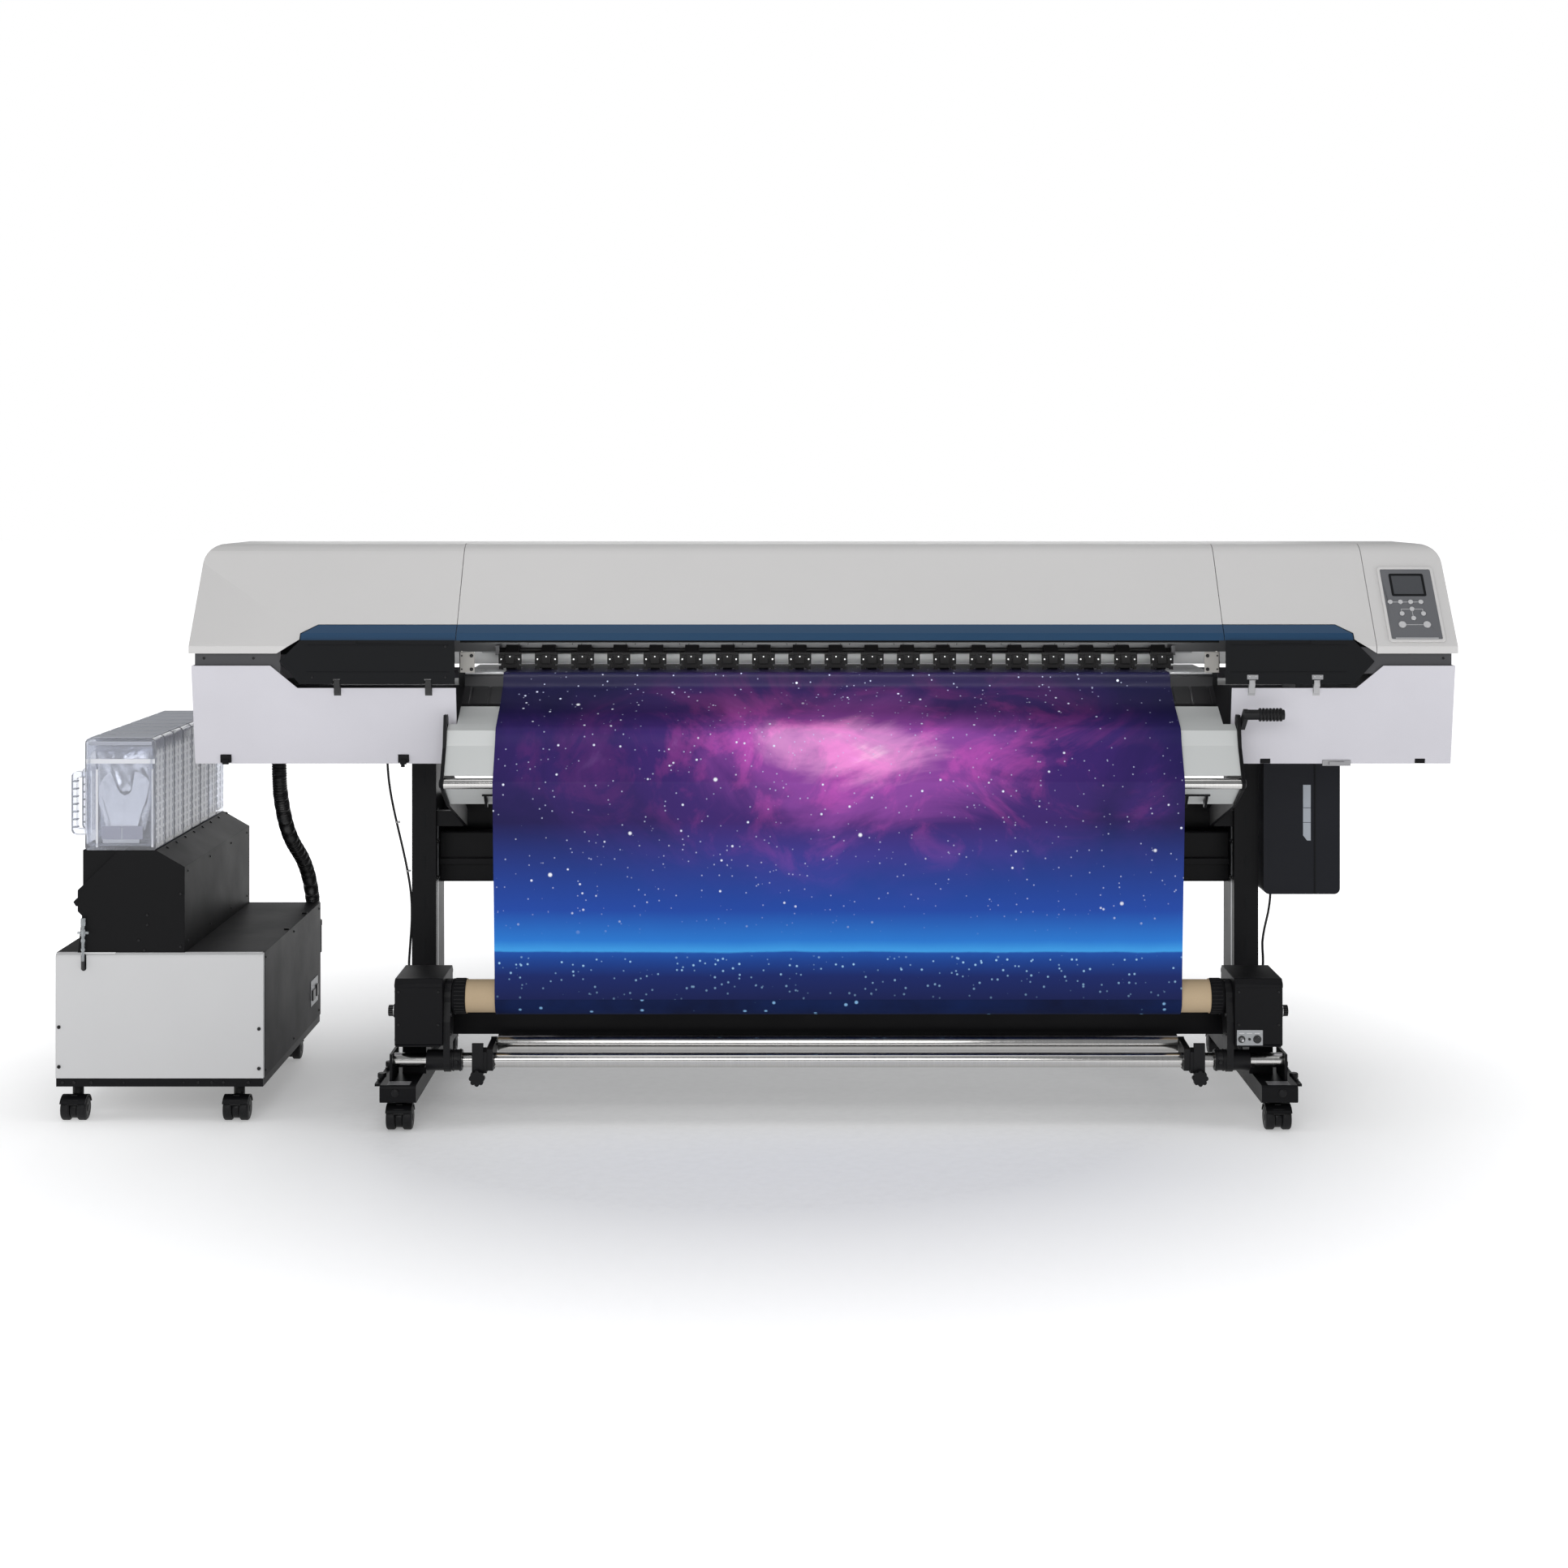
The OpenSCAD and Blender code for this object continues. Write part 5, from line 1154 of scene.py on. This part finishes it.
def takeup_details():
    b = Build()
    for side, name in ((-1, "left"), (1, "right")):
        inner = MID + side * 918.5
        outer = inner + side * 110
        # A lid a little larger than the box, and a foot plate
        b.prism([(L(-61.5), 330), (L(-61.5), 338), (L(-50), 349.2), (L(108), 349.2), (L(121), 338),
                 (L(121), 330)], 0,
                min(inner - side * 0.8, outer + side * 0.8), max(inner - side * 0.8, outer + side * 0.8))
        b.box((inner + side * 3, L(-62), 193), (outer - side * 3, L(-58), 197))
        b.piece("box_lid_" + name, "frame_black", bevel=1.4, segments=3)
        screws("box_screws_" + name, [(x, L(-60), z) for x in (inner + side * 9, outer - side * 9)
                                      for z in (244, 320)],
               FRONT, 6)
        screws("box_end_screws_" + name, [(outer, L(y), z) for y in (-46, 104) for z in (206, 318)],
               (side, 0, 0), 6)
        # End knob: knurled, on a pale washer
        b.lathe((outer + side * 8, L(-8), 266), (side, 0, 0), [(13.5, 0), (15, 0.3), (15, 2.0),
                                                               (13.5, 2.3)], 30)
        b.piece("knob_washer_" + name, "screw_steel", slot="chrome", bevel=0)
        for k in range(16):
            a = math.tau * k / 16
            y, z = L(-8) + 12.2 * math.cos(a), 266 + 12.2 * math.sin(a)
            b.rod((outer + side * 10.5, y, z), (outer + side * 21.5, y, z), 2.2, 8)
        b.piece("knob_grip_" + name, "button_black", bevel=0)
        # Ribbed chuck rings that turn with the reel
        for k in range(28):
            a = math.tau * k / 28
            y, z = L(8) + 40.0 * math.cos(a), 297 + 40.0 * math.sin(a)
            x = MID + side * 872
            b.rod((x, y, z), (x + side * 24, y, z), 3.0, 8)
        b.piece("chuck_ribs_" + name, "lever_black", "takeup_reel", "paper_core", bevel=0)
        # Bolts of the curved arm, and its tube clamp
        face = MID + side * (918.5 - 16)
        screws("arm_bolts_" + name, [(face, L(y), z) for y, z in ((-34, 262), (-36, 218), (46, 250))],
               (-side, 0, 0), 9)
        for x in (face - side * 24, face - side * 8):
            b.lathe((x, L(-20), 153.5), (side, 0, 0), [(24.2, 0), (25.6, 1), (25.6, 4), (24.2, 5)], 36)
        b.piece("clamp_bands_" + name, "lever_black", slot="arm_charcoal", bevel=0)
        screws("clamp_screws_" + name, [(face - side * 15, L(-45), 153.5)], FRONT, 8)
    # Switch plate on the right box
    boxes("switch_plate", "plate_grey", [
        ((1114, L(-61.4), 196), (1174, L(-59.8), 232))], slot="guide_plate", bevel=0.5)
    b.lathe((1125, L(-61.3), 211), FRONT, [(4.9, 0), (8.2, 0), (8.2, 1.4), (7.2, 2.2), (5.2, 2.2),
                                           (4.9, 0)], 26)
    b.lathe((1161, L(-61.3), 211), FRONT, [(5.5, 0), (9.5, 0), (9.5, 1.6), (8.5, 2.4), (5.9, 2.4),
                                           (5.5, 0)], 26)
    b.lathe((1143, L(-61.3), 211), FRONT, [(0, 0), (3.1, 0), (3.1, 1.5), (2, 2.2), (0, 2.3)], 20)
    b.piece("switch_rings", "button_black", bevel=0)
    for x in (1119, 1137, 1155):
        b.box((x, L(-61.7), 224), (x + 12, L(-61.3), 225.2))
    b.piece("switch_marks", "label_white", slot="guide_plate", bevel=0)


def stand_details():
    b = Build()
    foot = {-1: MID - 1017.5, 1: MID + 1017.5}
    for side, name in ((-1, "left"), (1, "right")):
        x = foot[side]
        for y in (14, 127):
            at = (x + side * 52.5, L(y), 99)
            b.lathe(at, UP, [(0, 0), (11.5, 0), (11.5, 1.4), (6, 1.6), (6, 4), (10, 4.6), (10.4, 7),
                             (10.4, 14),
                                    (9, 16), (0, 16.4)], 20)
            b.rod((at[0], at[1], 80), (at[0], at[1], 92.8), 10)
        b.piece("hand_screws_" + name, "lever_black", bevel=0)
        for k in range(5):
            b.box((x - 26, L(-76 + 7 * k), 108.8), (x + 26, L(-74 + 7 * k), 109.9))
        b.piece("foot_ribs_" + name, "drive_metal", slot="drive_metal", bevel=0.3)
        b.lathe((x + side * 6, L(-85), 92), FRONT, [(0, 0), (9, 0), (9, 2), (7, 3.6), (5, 3.8), (0, 3.2)],
                24)
        b.piece("foot_cap_" + name, "lever_black", bevel=0)
        # Gussets and bolts where the post meets the foot and the beam
        for s in (-1, 1):
            b.prism([(L(250), 109), (L(320.5), 109), (L(320.5), 176)], 0, x + s * 22 - 3, x + s * 22 + 3)
            b.prism([(L(461.5), 109), (L(530), 109), (L(461.5), 172)], 0, x + s * 22 - 3, x + s * 22 + 3)
        b.box((x - 28, L(250), 108.6), (x + 28, L(320.5), 113))
        b.box((x - 28, L(461.5), 108.6), (x + 28, L(532), 113))
        b.piece("post_gussets_" + name, "frame_black", bevel=0.8)
        screws("post_bolts_" + name, [(x + s * 10, L(y), 113) for s in (-1, 1) for y in (268, 515)], UP, 10)
        screws("beam_bolts_" + name, [(x - side * 30, L(y), z) for y in (340, 360) for z in (520, 610)],
               (-side, 0, 0), 10)
        for y in (90, 215):
            b.box((x - 42.6, L(y), 72), (x - 41, L(y + 60), 74))
        b.rod((x, L(770), 90), (x, L(775.2), 90), 16)
        b.piece("foot_plugs_" + name, "lever_black", bevel=0.3)
        # Slots down the post, where the cables are tied
        for k in range(6):
            z = 230 + 105 * k
            b.prism(rounded_rect(x - 4, z, x + 4, z + 34, 4), 1, L(319.5), L(320.3))
        b.piece("post_slots_" + name, "service_black", slot="frame_black", bevel=0)
        # A thin pale strip down the inner side face of the post
        inner = x - side * 30
        b.box((inner - side * 0.5, L(345), 240), (inner + side * 0.1, L(359), 690))
        b.piece("post_strip_" + name, "plate_grey", slot="guide_plate", bevel=0)
    # Bracket ends of the nose bar and small parts under the guide
    for x, s in ((-722.5, -1), (1123.5, 1)):
        b.lathe((x + s * 8, L(-62), 803), (s, 0, 0), [(0, 0), (11, 0), (11, 1.5), (9, 3), (0, 3.2)], 28)
    b.piece("nose_caps", "lever_black", bevel=0)
    for x in (-640, 1000):
        b.box((x, L(-20), 768), (x + 60, L(20), 772))
        b.prism([(L(-18), 768), (L(20), 768), (L(20), 738), (L(8), 738)], 0, x + 4, x + 10)
        b.prism([(L(-18), 768), (L(20), 768), (L(20), 738), (L(8), 738)], 0, x + 50, x + 56)
    b.piece("guide_brackets", "frame_black", bevel=0.6)
    # Ties round the cables
    for at in ((-918, 124, 640), (-887, 102, 520)):
        b.lathe((at[0], at[1], at[2] - 2), (0.2, -0.15, 1), [(3.0, 0), (4.3, 0), (4.3, 4), (3.0, 4)], 16)
        b.box((at[0] + 3, at[1] - 3, at[2] - 2.4), (at[0] + 9, at[1] + 2, at[2] + 2.4))
    b.piece("cable_ties", "label_white", slot="cable_black", bevel=0.3)


def tank_details():
    b = Build()
    b.prism([(1342, 757), (1342, 633), (1352, 620), (1361, 620), (1361, 757)], 1, L(284.2), L(285.4))
    b.piece("tank_window", "tank_window", slot="tank_black", bevel=0.3)
    boxes("tank_seam", "service_black", [
        ((1342, L(283.9), 700), (1361, L(284.6), 701.2)),
        ((1342, L(283.9), 664), (1361, L(284.6), 665.2)),
        ((1370.5, L(283.6), 490), (1373.5, L(285.4), 836))], slot="tank_black", bevel=0.2)
    b.rod((1283, 47, 488.5), (1283, 47, 474), 15)
    b.rod((-943, 135, 837.5), (-943, 135, 822), 15)
    b.piece("cable_glands", "lever_black", bevel=0.6)
    # Lock nuts at both ends of the hose
    for z0, z1 in ((812, 829), (330, 346)):
        x, y = (-1191, 5) if z0 > 500 else (-1180, 382)
        b.lathe((x, y, z0), UP, [(19.6, 0), (23.5, 1.5), (23.5, z1 - z0 - 1.5), (19.6, z1 - z0)], 12)
    b.piece("hose_nuts", "lever_black", bevel=0.5)


def wheel_details():
    """Hub caps on every wheel, and brake pedals on the stand's front casters."""
    b = Build()
    for name in NODES:
        if "_wheels_" not in name:
            continue
        low, high = node_mm(name)
        y, z = (low[1] + high[1]) / 2, (low[2] + high[2]) / 2
        for x, s in ((low[0], -1), (high[0], 1)):
            face = x + s * 0.3 - s * 0.6
            b.lathe((face, y, z), (s, 0, 0), [(20.5, 0), (20.5, 0.8), (17.5, 1.4), (16.8, 0.7), (9, 0.7),
                                              (8, 1.6),
                                             (5.6, 1.9), (0, 1.9)], 32)
        b.piece("hubs_" + name, "caster_plastic", name, "caster_plastic", bevel=0)
    for name in ("caster_fork_left", "caster_fork_right", "cart_fork_left", "cart_fork_right"):
        low, high = node_mm(name)
        x = (low[0] + high[0]) / 2
        b.prism([(low[1] + 1.5, 40), (low[1] + 6, 52), (low[1] + 26, 60), (low[1] + 26, 57.5),
                 (low[1] + 9, 49.5),
                 (low[1] + 5, 39)], 0, x - 13, x + 13)
        b.piece("brake_" + name, "caster_plastic", name, "caster_plastic", bevel=0.8)


opening_details()
pinch_details()
control_panel_details()
cover_details()
end_and_rear_details()
cart_details()
tower_details()
case_details()
takeup_details()
stand_details()
tank_details()
wheel_details()
